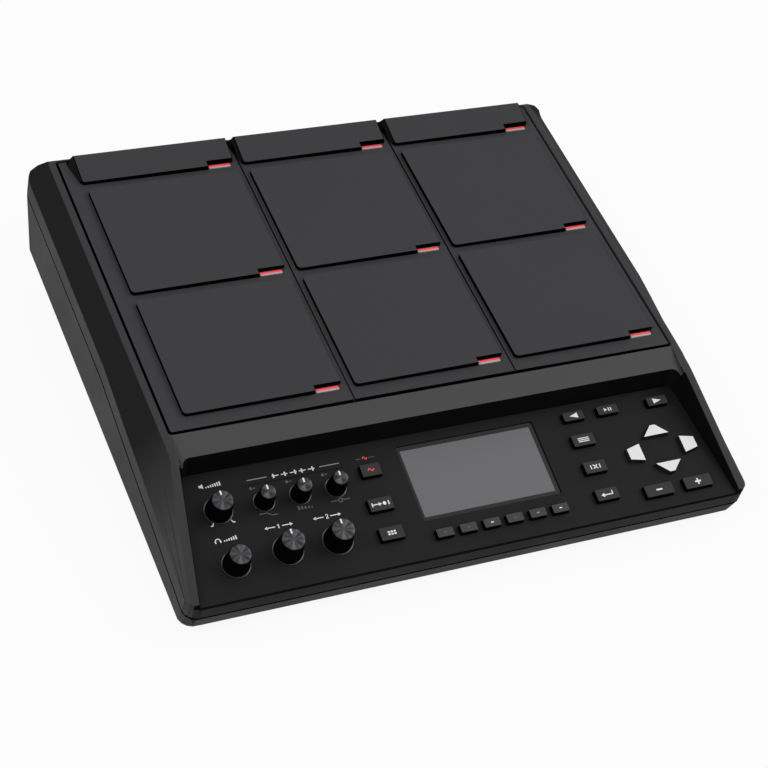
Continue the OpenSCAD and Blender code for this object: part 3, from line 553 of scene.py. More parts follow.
class Ink:
    """Flat printed shapes on the panel or on a key, in millimetres from the middle of a place."""

    def __init__(self, work, place, slot, low, high):
        self.work = work
        self.place = place @ Matrix.Translation((0, 0, low))
        self.slot = slot
        self.rise = place.to_3x3() @ Vector((0, 0, high - low))

    def lay(self, verts):
        """Gives the flat faces at some vertices the ink's slot and thickness."""
        faces = list({face for vert in verts for face in vert.link_faces})
        for face in faces:
            face.material_index = self.slot
        thicken(self.work, faces, self.rise)

    def at(self, x, y, turn=0.0):
        """Place of a point of the print, turned about its own middle."""
        return self.place @ Matrix.Translation((x * MM, y * MM, 0)) @ Matrix.Rotation(turn, 4, "Z")

    def shape(self, points):
        """Filled outline."""
        verts = [self.work.verts.new(self.at(x, y).to_translation()) for x, y in points]
        self.work.faces.new(verts)
        self.lay(verts)

    def bar(self, x, y, w, h, turn=0.0):
        """Rectangle."""
        place = self.at(x, y, turn) @ Matrix.Diagonal((w * MM, h * MM, 1, 1))
        made = bmesh.ops.create_grid(self.work, x_segments=1, y_segments=1, size=0.5, matrix=place)
        self.lay(made["verts"])

    def line(self, start, end, width):
        """Straight stroke."""
        along = Vector(end) - Vector(start)
        middle = (Vector(end) + Vector(start)) / 2
        self.bar(middle.x, middle.y, along.length, width, math.atan2(along.y, along.x))

    def path(self, points, width):
        """Straight strokes from point to point."""
        for start, end in zip(points, points[1:]):
            self.line(start, end, width)

    def levels(self, x, y, pitch, width, heights):
        """Row of bars that stand on a line."""
        for i, height in enumerate(heights):
            self.bar(x + pitch * i, y + height / 2, width, height)

    def disc(self, x, y, r, steps=20):
        """Round dot."""
        made = bmesh.ops.create_circle(
            self.work, cap_ends=True, radius=r * MM, segments=steps, matrix=self.at(x, y)
        )
        self.lay(made["verts"])

    def arc(self, x, y, r, width, start, end, steps=16):
        """Part of a ring, angles in degrees."""
        old = set(self.work.verts)
        centre = self.at(x, y, math.radians(start))
        ends = [self.work.verts.new(centre @ Vector((q * MM, 0, 0))) for q in (r - width / 2, r + width / 2)]
        bmesh.ops.spin(
            self.work, geom=ends + [self.work.edges.new(ends)], cent=centre.to_translation(),
            axis=self.rise.normalized(), angle=math.radians(end - start), steps=steps,
        )
        self.lay([vert for vert in self.work.verts if vert not in old])

    def one(self, x, y, h):
        """Figure one."""
        self.bar(x, y, h * 0.2, h)
        self.line((x - h * 0.28, y + h * 0.22), (x, y + h * 0.44), h * 0.18)

    def two(self, x, y, h):
        """Figure two."""
        self.arc(x, y + h * 0.22, h * 0.22, h * 0.17, -30, 180, 10)
        self.line((x + h * 0.19, y + h * 0.11), (x - h * 0.26, y - h * 0.4), h * 0.17)
        self.bar(x, y - h * 0.42, h * 0.66, h * 0.16)


# Operators

# Material slots of the upper case
SHELL, CHAMFER, RECESS, SLOPE, FRONT, SIDE = range(6)
# Bounds of its finishes, as sideways distance, distance along the deck and height over it
CHAMFER_X = 181.2 * MM
BAND_X = 190 * MM
CHEEK_X = 165 * MM
SLOPE_X = 176 * MM
SLOPE_Y = -17.8 * MM
RISER_Y = (-30 * MM, -17 * MM)
LIP_Y = -101.8 * MM
LIP_Z = -36.4 * MM
# Span along the deck over which the chamfers blend into their painted highlight
HIGHLIGHT_Y = (-62 * MM, -135 * MM)


class DRUMPAD_OT_upper_case(bpy.types.Operator):
    """Make the upper case with its rails, chamfers, slope strip and panel recess"""

    bl_idname = "drumpad.upper_case"
    bl_label = "Upper Case"

    def execute(self, context):
        case = context.scene.drumpad_case
        work = node_copy("top_case")
        back = DECK.inverted()
        turn = back.to_3x3()
        round_edges(work, self.lip_edges(work, turn), case.groove, 1)
        round_edges(work, outer_edges(work, angle=24, least=1.2 * MM), case.edge)
        for face in work.faces:
            face.material_index = self.finish(back @ face.calc_center_median(), turn @ face.normal)
        finishes = [
            moulded(case, "moulded_case", case.shell, 0.6, 0.16),
            moulded(case, "chamfer_dark", case.chamfer, 0.55, 0.01, 0.5),
            moulded(case, "recess_painted_shade", case.recess, 0.8, 0.01),
            moulded(case, "slope_strip_painted_light", case.slope, 0.6, 0.16),
            moulded(case, "front_band_painted_shade", case.front, 0.6, 0.1),
            moulded(case, "side_band_painted_shade", case.side, 0.6, 0.14),
        ]
        # The chamfers turn lighter towards the front: a painted highlight.
        fade(finishes[CHAMFER], case.chamfer_highlight, *HIGHLIGHT_Y)
        piece("upper_case", work, finishes, "chassis", ["top_case"], sharp=40)
        return {"FINISHED"}

    def lip_edges(self, work, turn):
        """Lower edges of the front lip, where it meets the lower case."""
        found = []
        for edge in work.edges:
            sides = sorted((turn @ face.normal for face in edge.link_faces), key=lambda normal: normal.z)
            if len(sides) == 2 and sides[0].z < -0.7 and sides[1].y < -0.6 and edge.is_convex:
                found.append(edge)
        return found

    def finish(self, spot, normal):
        """Slot of a face, from its middle and its direction on the deck."""
        side = abs(spot.x)
        inner = spot.x * normal.x < 0
        if 0.25 < abs(normal.x) < 0.93 and normal.z > 0.25 and not inner and side > CHAMFER_X:
            return CHAMFER
        # Downward faces, the groove under the lip, the lip's top, the rails' inner edges by the cheeks and
        # the riser take the near black recess colour: painted shade.
        if normal.z < -0.3:
            return RECESS
        # Outer side walls take the darker side colour, a painted shade.
        if abs(normal.x) > 0.93 and not inner and side > BAND_X:
            return SIDE
        if spot.y < LIP_Y:
            if normal.z > 0.6 or (normal.y < -0.6 and spot.z > LIP_Z):
                return RECESS
            # Forward faces of the lip take the darker front colour, a painted shade.
            return FRONT if normal.y < -0.6 else SHELL
        if spot.y < RISER_Y[1] and side < BAND_X:
            if inner and side > CHEEK_X and abs(normal.x) > 0.2:
                return RECESS
            if normal.y < -0.3 and spot.y > RISER_Y[0] and normal.z < 0.6:
                return RECESS
        # The slope strip takes a lighter copy of the shell's plastic, as painted light.
        if SLOPE_Y < spot.y < 0 and normal.y < -0.1 and normal.z > 0.8 and side < SLOPE_X:
            return SLOPE
        return SHELL


class DRUMPAD_OT_lower_case(bpy.types.Operator):
    """Make the lower case with its slanted walls and base"""

    bl_idname = "drumpad.lower_case"
    bl_label = "Lower Case"

    def execute(self, context):
        case = context.scene.drumpad_case
        work = node_copy("bottom_case")
        turn = DECK.inverted().to_3x3()
        edges = outer_edges(work, angle=24, least=0.3 * MM)
        # The rim's bevel along the parting line is coloured near black: a painted shadow of the gap.
        rim = [e for e in edges if any((turn @ f.normal).z > 0.8 for f in e.link_faces)]
        round_edges(work, rim, case.seam, 1)
        edges = outer_edges(work, angle=28, least=1.2 * MM)
        rest = [e for e in edges if all((turn @ f.normal).z < 0.15 for f in e.link_faces)]
        round_edges(work, rest, case.edge)
        # Forward faces take the darker front colour, a painted shade.
        for face in work.faces:
            normal = turn @ face.normal
            face.material_index = 1 if normal.z > 0.15 else 2 if normal.y < -0.6 else 0
        # The lower case, mostly side wall, takes the darker side colour as painted shade.
        shell = moulded(case, "moulded_base_painted_shade", case.side, 0.62, 0.16)
        black = moulded(case, "seam_painted_shade", case.recess, 0.8, 0.01)
        front = moulded(case, "front_base_painted_shade", case.front, 0.62, 0.14)
        piece("lower_case", work, [shell, black, front], "chassis", ["bottom_case"], sharp=40)
        return {"FINISHED"}


# Where the edge pads start along the deck, and the least area of the sloping ends on their left
EDGE_PADS_Y = 210 * MM
END_AREA = 20 * MM * MM


class DRUMPAD_OT_pad_sheet(bpy.types.Operator):
    """Make the rubber sheet with its nine pads"""

    bl_idname = "drumpad.pad_sheet"
    bl_label = "Pad Sheet"

    def execute(self, context):
        pads = context.scene.drumpad_pads
        work = rounded_copy("pad_sheet", angle=22, least=0.9 * MM, width=pads.edge)
        back = DECK.inverted()
        turn = back.to_3x3()
        for face in work.faces:
            normal = turn @ face.normal
            # Faces that look left or forward turn black already at a slight tilt, all steep walls are black,
            # and the edge pads' left ends are dark grey: painted shade.
            shaded = normal.x < -0.1 or normal.y < -0.1
            face.material_index = 0 if normal.z > (0.96 if shaded else 0.3) else 1
            rear = (back @ face.calc_center_median()).y > EDGE_PADS_Y
            if rear and normal.x < -0.5 and face.calc_area() > END_AREA:
                face.material_index = 2
        top = surface("pad_rubber_top", pads.rubber, 0.68, *MATT_GRAIN, 0.06, 0.05, 14.0, 0.15)
        wall_shade = surface("pad_wall_painted_shade", pads.wall_shade, 0.85, *MATT_GRAIN, gloss=0.004)
        end = surface("pad_end_painted_shade", pads.end, 0.8, *MATT_GRAIN, gloss=0.02)
        piece("rubber_pads", work, [top, wall_shade, end], "chassis", ["pad_sheet"])
        return {"FINISHED"}


class DRUMPAD_OT_pad_lights(bpy.types.Operator):
    """Make the nine light bars with their front diffusers"""

    bl_idname = "drumpad.pad_lights"
    bl_label = "Pad Lights"

    def execute(self, context):
        pads = context.scene.drumpad_pads
        work = node_copy("pad_lights")
        back = DECK.inverted()
        turn = back.to_3x3()
        along = turn.transposed() @ Vector((0, 1, 0))
        for group in islands(work):
            middle = sum((v.co for v in group), Vector()) / len(group)
            parts = {e for v in group for e in v.link_edges} | {f for v in group for f in v.link_faces}
            bmesh.ops.bisect_plane(
                work, geom=group + list(parts), plane_co=middle - along * pads.lens_shift, plane_no=along
            )
        top = max((back @ v.co).z for v in work.verts)
        round_edges(work, rim_edges(work, back, top), 0.2 * MM)
        for face in work.faces:
            face.material_index = 1
        for group in islands(work):
            rows = [(back @ v.co).y for v in group]
            split = (min(rows) + max(rows)) / 2 - pads.lens_shift
            for face in {f for v in group for f in v.link_faces}:
                spot = back @ face.calc_center_median()
                if spot.y > split and (turn @ face.normal).z > 0.35:
                    face.material_index = 0
        lens = lit_bar("light_lens", pads.light, pads.glow)
        diffuser = lit_bar("light_diffuser", pads.diffuser, pads.glow * 0.1)
        piece("light_bars", work, [lens, diffuser], "chassis", ["pad_lights"])
        return {"FINISHED"}


class DRUMPAD_OT_control_panel(bpy.types.Operator):
    """Make the control panel's plate"""

    bl_idname = "drumpad.control_panel"
    bl_label = "Control Panel"

    def execute(self, context):
        panel = context.scene.drumpad_panel
        case = context.scene.drumpad_case
        work = node_copy("control_panel")
        back = PANEL.inverted()
        turn = back.to_3x3()
        round_edges(work, rim_edges(work, back, 0, 0.6), 0.15 * MM)
        # The walls of the panel's holes take the near black recess colour: painted shade.
        for face in work.faces:
            face.material_index = 0 if (turn @ face.normal).z > 0.3 else 1
        plate = surface("panel_plate", panel.plate, 0.62, *MATT_GRAIN, 0.1, 0.06, 18.0, 0.12)
        black = surface("panel_edge_painted_shade", case.recess, 0.8, *MATT_GRAIN, gloss=0.08)
        piece("panel_plate", work, [plate, black], "chassis", ["control_panel"])
        return {"FINISHED"}


class DRUMPAD_OT_panel_marks(bpy.types.Operator):
    """Print the white, dim and red marks of the control panel"""

    bl_idname = "drumpad.panel_marks"
    bl_label = "Panel Marks"

    def execute(self, context):
        panel = context.scene.drumpad_panel
        work = bmesh.new()
        white, dim, red, black, grey = [Ink(work, PANEL, slot, INK_LOW, panel.ink) for slot in range(5)]
        # Loudspeaker with rising level bars
        white.shape([(-163, 76), (-161.8, 76), (-160.4, 75.2), (-160.4, 78.4), (-161.8, 77.6), (-163, 77.6)])
        white.levels(-158.6, 75.3, 1.5, 0.8, [0.8 + 0.34 * i for i in range(7)])
        # Headphones with rising level bars
        white.arc(-162.5, 39.4, 1.6, 0.55, 0, 180, 12)
        white.bar(-164.1, 39, 0.9, 1.5)
        white.bar(-160.9, 39, 0.9, 1.5)
        white.levels(-158.4, 38.5, 1.5, 0.8, [0.8 + 0.36 * i for i in range(6)])
        # Ends of the volume knob's travel
        for side in (-1, 1):
            x = -155.8 + side * 5.6
            white.line((x, 51.6), (x + side * 0.9, 50), 0.6)
            white.line((x + side * 0.6, 49.9), (x + side * 2.2, 49.9), 0.7)
        # Five sliders in the middle of a line
        for x0, x1 in ((-132.6, -119.4), (-84.6, -71.4)):
            grey.bar((x0 + x1) / 2, 75.1, x1 - x0, 0.5)
        for i in range(5):
            x = -114 + 6 * i
            white.bar(x, 74.9, 4.4, 0.55)
            white.bar(x + (-1.2, 0.4, 1.2, -0.4, 0.8)[i], 74.9, 0.9, 2.8)
        # Groove over the small knobs, drawn as a flat near black line of painted shade
        black.bar(-103.5, 71.7, 67, 0.5)
        # Dim marks above and below the small knobs: a slope, falling bars and a loop
        for x in (-130.8, -107.2, -83.4):
            dim.bar(x - 1, 69.3, 1.5, 1.7)
            dim.bar(x + 1.2, 69.3, 1.5, 0.6)
        dim.line((-132, 51.4), (-127, 51.4), 0.6)
        dim.line((-127.2, 51.5), (-124, 49.4), 0.6)
        dim.line((-124.2, 49.4), (-120.6, 49.4), 0.6)
        dim.levels(-106.6, 49.2, 2.1, 1.1, [2.6 - 0.45 * i for i in range(5)])
        dim.arc(-79, 50.4, 1.3, 0.55, 40, 360, 16)
        dim.shape([(-77.9, 51.9), (-76.6, 50.6), (-78.5, 50.5)])
        dim.bar(-83.2, 50.4, 4.4, 0.55)
        dim.bar(-74.8, 50.4, 4.4, 0.55)
        # Numbered arrows over the two large knobs
        for x, figure in ((-122.9, "one"), (-91.2, "two")):
            for side in (-1, 1):
                tip = x + side * 9.2
                white.line((x + side * 2.2, 41.4), (x + side * 7.8, 41.4), 0.6)
                flank = tip - side * 1.9
                points = [(flank, 40.3), (tip, 41.4), (flank, 42.5)]
                white.shape(points if side > 0 else points[::-1])
            getattr(white, figure)(x, 41.4, 2.9)
        # Red wave over the effect key
        red.path([(-55.6, 75), (-54.6, 76.3), (-53.4, 74.2), (-52.4, 75.5)], 0.7)
        dim.bar(-58.4, 75.1, 3.2, 0.4)
        dim.bar(-49.2, 75.1, 4.2, 0.4)
        outward(work)
        inks = [
            printed("print_white", panel.mark),
            printed("print_dim", panel.dim, tint=0.06),
            printed("print_red", panel.red, 0.55),
            surface("groove_painted_shade", context.scene.drumpad_case.recess, 0.8, gloss=0.05),
            printed("print_grey", panel.grey, tint=0.04),
        ]
        piece("panel_marks", work, inks, "chassis", weighted=False)
        return {"FINISHED"}


class DRUMPAD_OT_display(bpy.types.Operator):
    """Make the display with its bezel and its screen"""

    bl_idname = "drumpad.display"
    bl_label = "Display"

    def execute(self, context):
        panel = context.scene.drumpad_panel
        low, high = local_box("display_window", PANEL)
        work = bmesh.new()
        outline = above(low, high, low.z) @ Matrix.Diagonal((high.x - low.x, high.y - low.y, 1, 1))
        bmesh.ops.create_grid(work, x_segments=1, y_segments=1, size=0.5, matrix=outline)
        bmesh.ops.bevel(
            work, geom=work.verts[:], offset=panel.window_corner, offset_type="OFFSET", segments=5,
            profile=0.5, affect="VERTICES", material=-1, clamp_overlap=True,
        )
        tops = set(thicken(work, work.faces[:], PANEL.to_3x3() @ Vector((0, 0, high.z - low.z))))
        outward(work)
        round_edges(work, [e for e in work.edges if set(e.verts) <= tops], 0.15 * MM)
        ink = Ink(work, PANEL, 1, high.z - 0.05 * MM, high.z + panel.ink)
        ink.bar(panel.screen_x / MM, panel.screen_y / MM, panel.screen_width / MM, panel.screen_depth / MM)
        outward(work)
        bezel = surface("display_bezel", panel.bezel, 0.5, 0.4 * MM, 0.01 * MM, gloss=0.16)
        screen = pixel_screen("display_screen", panel.screen)
        piece("display", work, [bezel, screen], "chassis", ["display_window"])
        return {"FINISHED"}


# Ink of each function key's dash, from the left
FUNCTION_INKS = ("dim", "dim", "white", "dim", "grey", "white")
# Ink and strokes of each rectangular key's mark
KEY_MARKS = {
    "effect_key": ("red", [("path", [(-2.2, -0.4), (-0.9, 1.1), (0.7, -1.1), (2.1, 0.4)], 0.75)]),
    "trigger_key": ("white", [
        ("bar", -3.2, 0, 4.4, 0.7), ("shape", [(-1.4, -1.3), (0.6, 0), (-1.4, 1.3)]), ("disc", 2.4, 0, 1.2),
        ("bar", 5.2, 0, 0.8, 2.8), ("bar", -5.8, 0, 0.7, 2.8),
    ]),
    "kit_key": ("white", [("bar", -2 + 2 * i, -0.8 + 1.6 * j, 1.4, 1.1) for i in range(3) for j in range(2)]),
    **{"function_key_%d" % (i + 1): (ink, [("bar", 0, 0, 1.9, 0.7)]) for i, ink in enumerate(FUNCTION_INKS)},
    "back_key": ("white", [("shape", [(-3, 0), (3, -1.9), (3, 1.9)])]),
    "centre_key": ("white", [
        ("shape", [(-2.7, -1.3), (-0.4, 0), (-2.7, 1.3)]),
        ("bar", 0.7, 0, 0.7, 2.5), ("bar", 2.3, 0, 0.7, 2.5),
    ]),
    "forward_key": ("white", [("shape", [(3, 0), (-3, 1.9), (-3, -1.9)])]),
    "menu_key": ("white", [("bar", 0, y, 8, 0.6) for y in (-1.2, 0, 1.2)]),
    "exit_key": ("white", [
        ("line", (-1.5, -1.4), (1.5, 1.4), 0.75), ("line", (-1.5, 1.4), (1.5, -1.4), 0.75),
        ("bar", -3.2, 0, 0.7, 2.9), ("bar", 3.2, 0, 0.7, 2.9),
    ]),
    "enter_key": ("white", [
        ("shape", [(-4.6, -0.5), (-2.2, -2), (-2.2, 1)]), ("bar", 0.8, -0.5, 6.4, 0.75),
        ("bar", 3.7, 0.7, 0.75, 2.2),
    ]),
    "minus_key": ("white", [("bar", 0, 0, 4.4, 1.1)]),
    "plus_key": ("white", [("bar", 0, 0, 4.4, 1.1), ("bar", 0, 1.35, 1.1, 1.6), ("bar", 0, -1.35, 1.1, 1.6)]),
}


def capped_key(name, edge):
    """Copy of a key with a rounded upper edge, slot 0 on top and slot 1 on the sides, and its top's place."""
    work = node_copy(name)
    low, high = local_box(name, PANEL)
    back = PANEL.inverted()
    turn = back.to_3x3()
    round_edges(work, rim_edges(work, back, high.z), edge, 3)
    for face in work.faces:
        upper = (back @ face.calc_center_median()).z > high.z - edge
        face.material_index = 0 if upper and (turn @ face.normal).z > 0.85 else 1
    return work, above(low, high, high.z)


class DRUMPAD_OT_keys(bpy.types.Operator):
    """Make the rectangular keys with their marks"""

    bl_idname = "drumpad.keys"
    bl_label = "Keys"

    def execute(self, context):
        control = context.scene.drumpad_controls
        panel = context.scene.drumpad_panel
        tops = []
        for name, tone in (("key_top", control.key), ("function_key_top", control.function)):
            tops.append(surface(name, tone, 0.58, *KEY_GRAIN, 0.06, 0.05, 40.0, 0.18))
        # The keys' sides are near black: painted shade.
        side = surface("key_side_painted_shade", control.side, 0.8, *KEY_GRAIN, gloss=0.006)
        tones = {"white": panel.mark, "red": panel.red, "grey": panel.grey, "dim": panel.dim}
        inks = {label: printed("key_print_" + label, tone) for label, tone in tones.items()}
        for name, (label, strokes) in KEY_MARKS.items():
            work, place = capped_key(name, control.edge)
            ink = Ink(work, place, 2, -0.05 * MM, panel.ink * 0.6)
            for kind, *values in strokes:
                getattr(ink, kind)(*values)
            outward(work)
            cap = tops[name.startswith("function")]
            piece(name + "_cap", work, [cap, side, inks[label]], name, [name])
        return {"FINISHED"}


class DRUMPAD_OT_cursor_keys(bpy.types.Operator):
    """Make the four white cursor keys"""

    bl_idname = "drumpad.cursor_keys"
    bl_label = "Cursor Keys"

    def execute(self, context):
        control = context.scene.drumpad_controls
        top = surface("cursor_top", control.cursor, 0.5, 0.4 * MM, 0.008 * MM, 0.02, 0.05, 40.0, 0.3)
        side = surface("cursor_side", control.cursor_side, 0.65, *KEY_GRAIN, gloss=0.2)
        for name in CURSOR_KEYS:
            work = capped_key(name, control.edge)[0]
            piece(name + "_cap", work, [top, side], name, [name])
        return {"FINISHED"}


class DRUMPAD_OT_knobs(bpy.types.Operator):
    """Make the seven knobs with their spun caps, pointers and the rings at their feet"""

    bl_idname = "drumpad.knobs"
    bl_label = "Knobs"

    def execute(self, context):
        control = context.scene.drumpad_controls
        panel = context.scene.drumpad_panel
        side = surface("knob_side", control.knob, 0.75, 0.35 * MM, 0.01 * MM, gloss=0.01)
        # The caps' lighter and darker sectors are a painted reflection.
        wide_cap = spun_metal("knob_cap", control.cap, ((4, 0.25), (9, 0.3)))
        small_cap = spun_metal("effect_knob_cap", control.cap, ((3, 0.45), (9, 0.1)))
        white = printed("knob_pointer", panel.mark, 0.5)
        shaft = surface("shaft_steel", shade(170, 170, 173), 0.3, 0.3 * MM, 0.004 * MM, metal=1.0)
        lift = 0.8 * MM
        for name in KNOBS:
            low, foot = local_box(name, PANEL)
            high = foot.z
            base = (foot.x - low.x) / 2
            place = above(low, foot, 0)
            back = place.inverted()
            spots = [back @ v.co for v in NODES[name].data.vertices]
            tip = max(p.xy.length for p in spots if p.z > high - LEVEL)
            work = bmesh.new()
            layer = work.loops.layers.uv.new("spin")
            profile = [
                (0, high - 3.4 * MM), (3.1 * MM, high - 3.4 * MM), (3.1 * MM, lift),
                (base - 0.5 * MM, lift), (base - 0.1 * MM, lift + 0.25 * MM),
                (base, lift + 0.6 * MM), (base, lift + 1.3 * MM), (base - 0.25 * MM, lift + 1.6 * MM),
                (tip + 0.12 * MM, high - 0.62 * MM), (tip, high - 0.5 * MM),
                (tip - 0.4 * MM, high - 0.04 * MM), (tip - 0.55 * MM, high),
                (tip * 0.66, high - 0.02 * MM), (tip * 0.33, high - 0.03 * MM), (0, high - 0.03 * MM),
            ]
            spun(work, profile, KNOB_STEPS, place, [0] * 9 + [1] * 5, layer)
            if name != "phones_knob":
                start = tip * (0.3 if tip < SMALL_CAP else 0.5)
                end = tip - 0.5 * MM
                ink = Ink(work, place, 2, high - 0.2 * MM, high + 0.03 * MM)
                ink.bar(0, (start + end) / 2 / MM, control.pointer / MM, (end - start) / MM)
            outward(work)
            cap = small_cap if tip < SMALL_CAP else wide_cap
            piece(name + "_turned", work, [side, cap, white], name, [name], weighted=False)
            dress(shaft, name + "_shaft")
        rings = rounded_copy("knob_rings", angle=40, least=0.1 * MM, width=0.12 * MM)
        metal = surface("ring_metal", control.ring, 0.28, 0.3 * MM, 0.004 * MM, 0.06, 0.05, metal=1.0)
        piece("foot_rings", rings, [metal], "chassis", ["knob_rings"])
        return {"FINISHED"}


class DRUMPAD_OT_rear_panel(bpy.types.Operator):
    """Make the jack plate with its nuts and marks, the sockets and the power button"""

    bl_idname = "drumpad.rear_panel"
    bl_label = "Rear Panel"

    def execute(self, context):
        rear = context.scene.drumpad_rear
        panel = context.scene.drumpad_panel
        control = context.scene.drumpad_controls
        work = rounded_copy("jack_plate", angle=40, least=0.4 * MM, width=0.2 * MM)
        plate = surface("jack_plate_paint", rear.plate, 0.55, 0.5 * MM, 0.02 * MM, gloss=0.35)
        piece("jack_plate_finished", work, [plate], "chassis", ["jack_plate"])
        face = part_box("jack_plate")[1][1]
        facing = Matrix.Translation((0, face, SOCKET_HEIGHT)) @ Matrix.Rotation(math.radians(-90), 4, "X")
        work = bmesh.new()
        inner = SOCKET_RADIUS
        outer = inner + rear.nut_width
        profile = [
            (inner, -0.5 * MM), (outer, -0.02 * MM), (outer, rear.nut_height * 0.75),
            (outer - 0.25 * MM, rear.nut_height), (inner + 0.3 * MM, rear.nut_height),
            (inner, rear.nut_height * 0.7), (inner, -0.5 * MM),
        ]
        for x in SOCKETS:
            spun(work, profile, NUT_STEPS, facing @ Matrix.Translation((x, 0, 0)), [0] * 6)
        outward(work)
        metal = surface("nut_metal", rear.nut, 0.3, 0.3 * MM, 0.006 * MM, 0.06, 0.06, metal=1.0)
        piece("socket_nuts", work, [metal], "chassis")
        self.marks(panel, face)
        work = rounded_copy("power_button", angle=40, least=1 * MM, width=0.35 * MM, segments=3)
        button = surface("power_button_top", control.function, 0.5, *KEY_GRAIN)
        piece("power_button_cap", work, [button], "power_button", ["power_button"])
        dark = surface("socket_plastic", control.side, 0.5, 0.4 * MM, 0.01 * MM, gloss=0.3)
        dress(dark, "jack_sockets", "dc_inlet", "power_switch")
        dress(metal, "usb_sockets")
        return {"FINISHED"}

    def marks(self, panel, face):
        """Rows of dots and simple signs over the sockets."""
        facing = Matrix.Translation((0, face, SOCKET_HEIGHT)) @ Matrix.Rotation(math.radians(90), 4, "X")
        facing = facing @ Matrix.Rotation(math.radians(180), 4, "Y")
        work = bmesh.new()
        ink = Ink(work, facing, 0, INK_LOW, panel.ink)
        for i, x in enumerate(SOCKETS):
            left = -x / MM
            ink.bar(left, 10.5, 12, 0.5)
            for k in range(i % 4 + 1):
                ink.disc(left - (i % 4) * 0.9 + 1.8 * k, 12.4, 0.6, 12)
        for x in (-76, -98):
            ink.shape([(x - 1.5, 10), (x + 1.5, 10), (x, 12.4)])
        ink.arc(-124, 11.6, 1.6, 0.5, 35, 325, 20)
        ink.disc(-124, 11.6, 0.6, 12)
        ink.arc(-149, 11.4, 1.7, 0.5, 120, 420, 20)
        ink.bar(-149, 12.6, 0.5, 2)
        outward(work)
        white = printed("rear_print", panel.mark)
        piece("rear_marks", work, [white], "chassis", weighted=False)


class DRUMPAD_OT_inner_parts(bpy.types.Operator):
    """Give the inner parts, screws, inserts and feet their materials, and make the foam cushions"""

    bl_idname = "drumpad.inner_parts"
    bl_label = "Inner Parts"

    def execute(self, context):
        rear = context.scene.drumpad_rear
        # The pad plate, seen only through the gap round the pad sheet, is coloured near black: painted shade.
        coat = surface("plate_painted_shade", shade(9, 9, 10), 0.75, 0.6 * MM, 0.015 * MM, 0.1, 0.08, 35.0, 0.05)
        brass = surface("brass_disc", shade(200, 165, 85), 0.32, 0.4 * MM, 0.006 * MM, 0.08, 0.06, metal=1.0)
        steel = surface("screw_steel_plated", shade(150, 150, 154), 0.32, 0.3 * MM, 0.006 * MM, metal=1.0)
        dark = surface("inner_plastic", shade(28, 28, 30), 0.5, 0.5 * MM, 0.015 * MM)
        board = circuit_board("board_coat", shade(20, 70, 40))
        foot = surface("foot_rubber_ribbed", rear.rubber, 0.8, 0.6 * MM, 0.03 * MM, gloss=0.2)
        dress(coat, "pad_plate")
        dress(brass, "pad_sensors", "stand_inserts")
        dress(board, "panel_board", "main_board")
        dress(dark, "display_module", "key_switches", "pot_bodies")
        dress(steel, "case_screws")
        dress(foot, "rubber_feet")
        self.cushions()
        return {"FINISHED"}

    def cushions(self):
        """Crowned foam discs under the sensors."""
        source = node_copy("sensor_cushions")
        back = DECK.inverted()
        work = bmesh.new()
        for group in islands(source):
            spots = [back @ v.co for v in group]
            (left, right), (front, rear), (low, high) = [
                (min(p[i] for p in spots), max(p[i] for p in spots)) for i in range(3)
            ]
            x = (left + right) / 2
            y = (front + rear) / 2
            r = (right - left) / 2
            crown = (high - low) * 0.3
            profile = [
                (0, low), (r * 0.6, low + crown * 0.25), (r * 0.88, low + crown * 0.8),
                (r * 0.97, low + crown * 1.4), (r, (low + high) / 2),
                (r * 0.98, high - crown * 0.4), (r * 0.94, high), (0, high),
            ]
            spun(work, profile, CUSHION_STEPS, DECK @ Matrix.Translation((x, y, 0)), [0] * 7)
        source.free()
        outward(work)
        foam = surface("open_foam", shade(34, 34, 36), 0.9, 0.7 * MM, 0.25 * MM, 0.3, 0.05, gloss=0.1)
        made = piece(
            "foam_cushions", work, [foam], "chassis", ["sensor_cushions"], weighted=False
        )


# Camera on the deck, and each lamp's name, size and place
CAMERA_PLACE = (-0.537027, -0.709717, 0.93723)
CAMERA_TURN = Quaternion((0.918569, 0.329844, -0.162407, -0.145114))
LAMPS = (("left_lamp", 0.85, (-1.5, -0.3, 1.45)), ("right_lamp", 1.4, (1.4, -0.3, 1.6)))
LAMP_AIM = Vector((0, 0, 0.05))
# Share of the floor's white that is its own light where it is looked at
FLOOR_GLOW = 0.92
FLOOR_SIZE = 6
SENSOR_WIDTH = 36


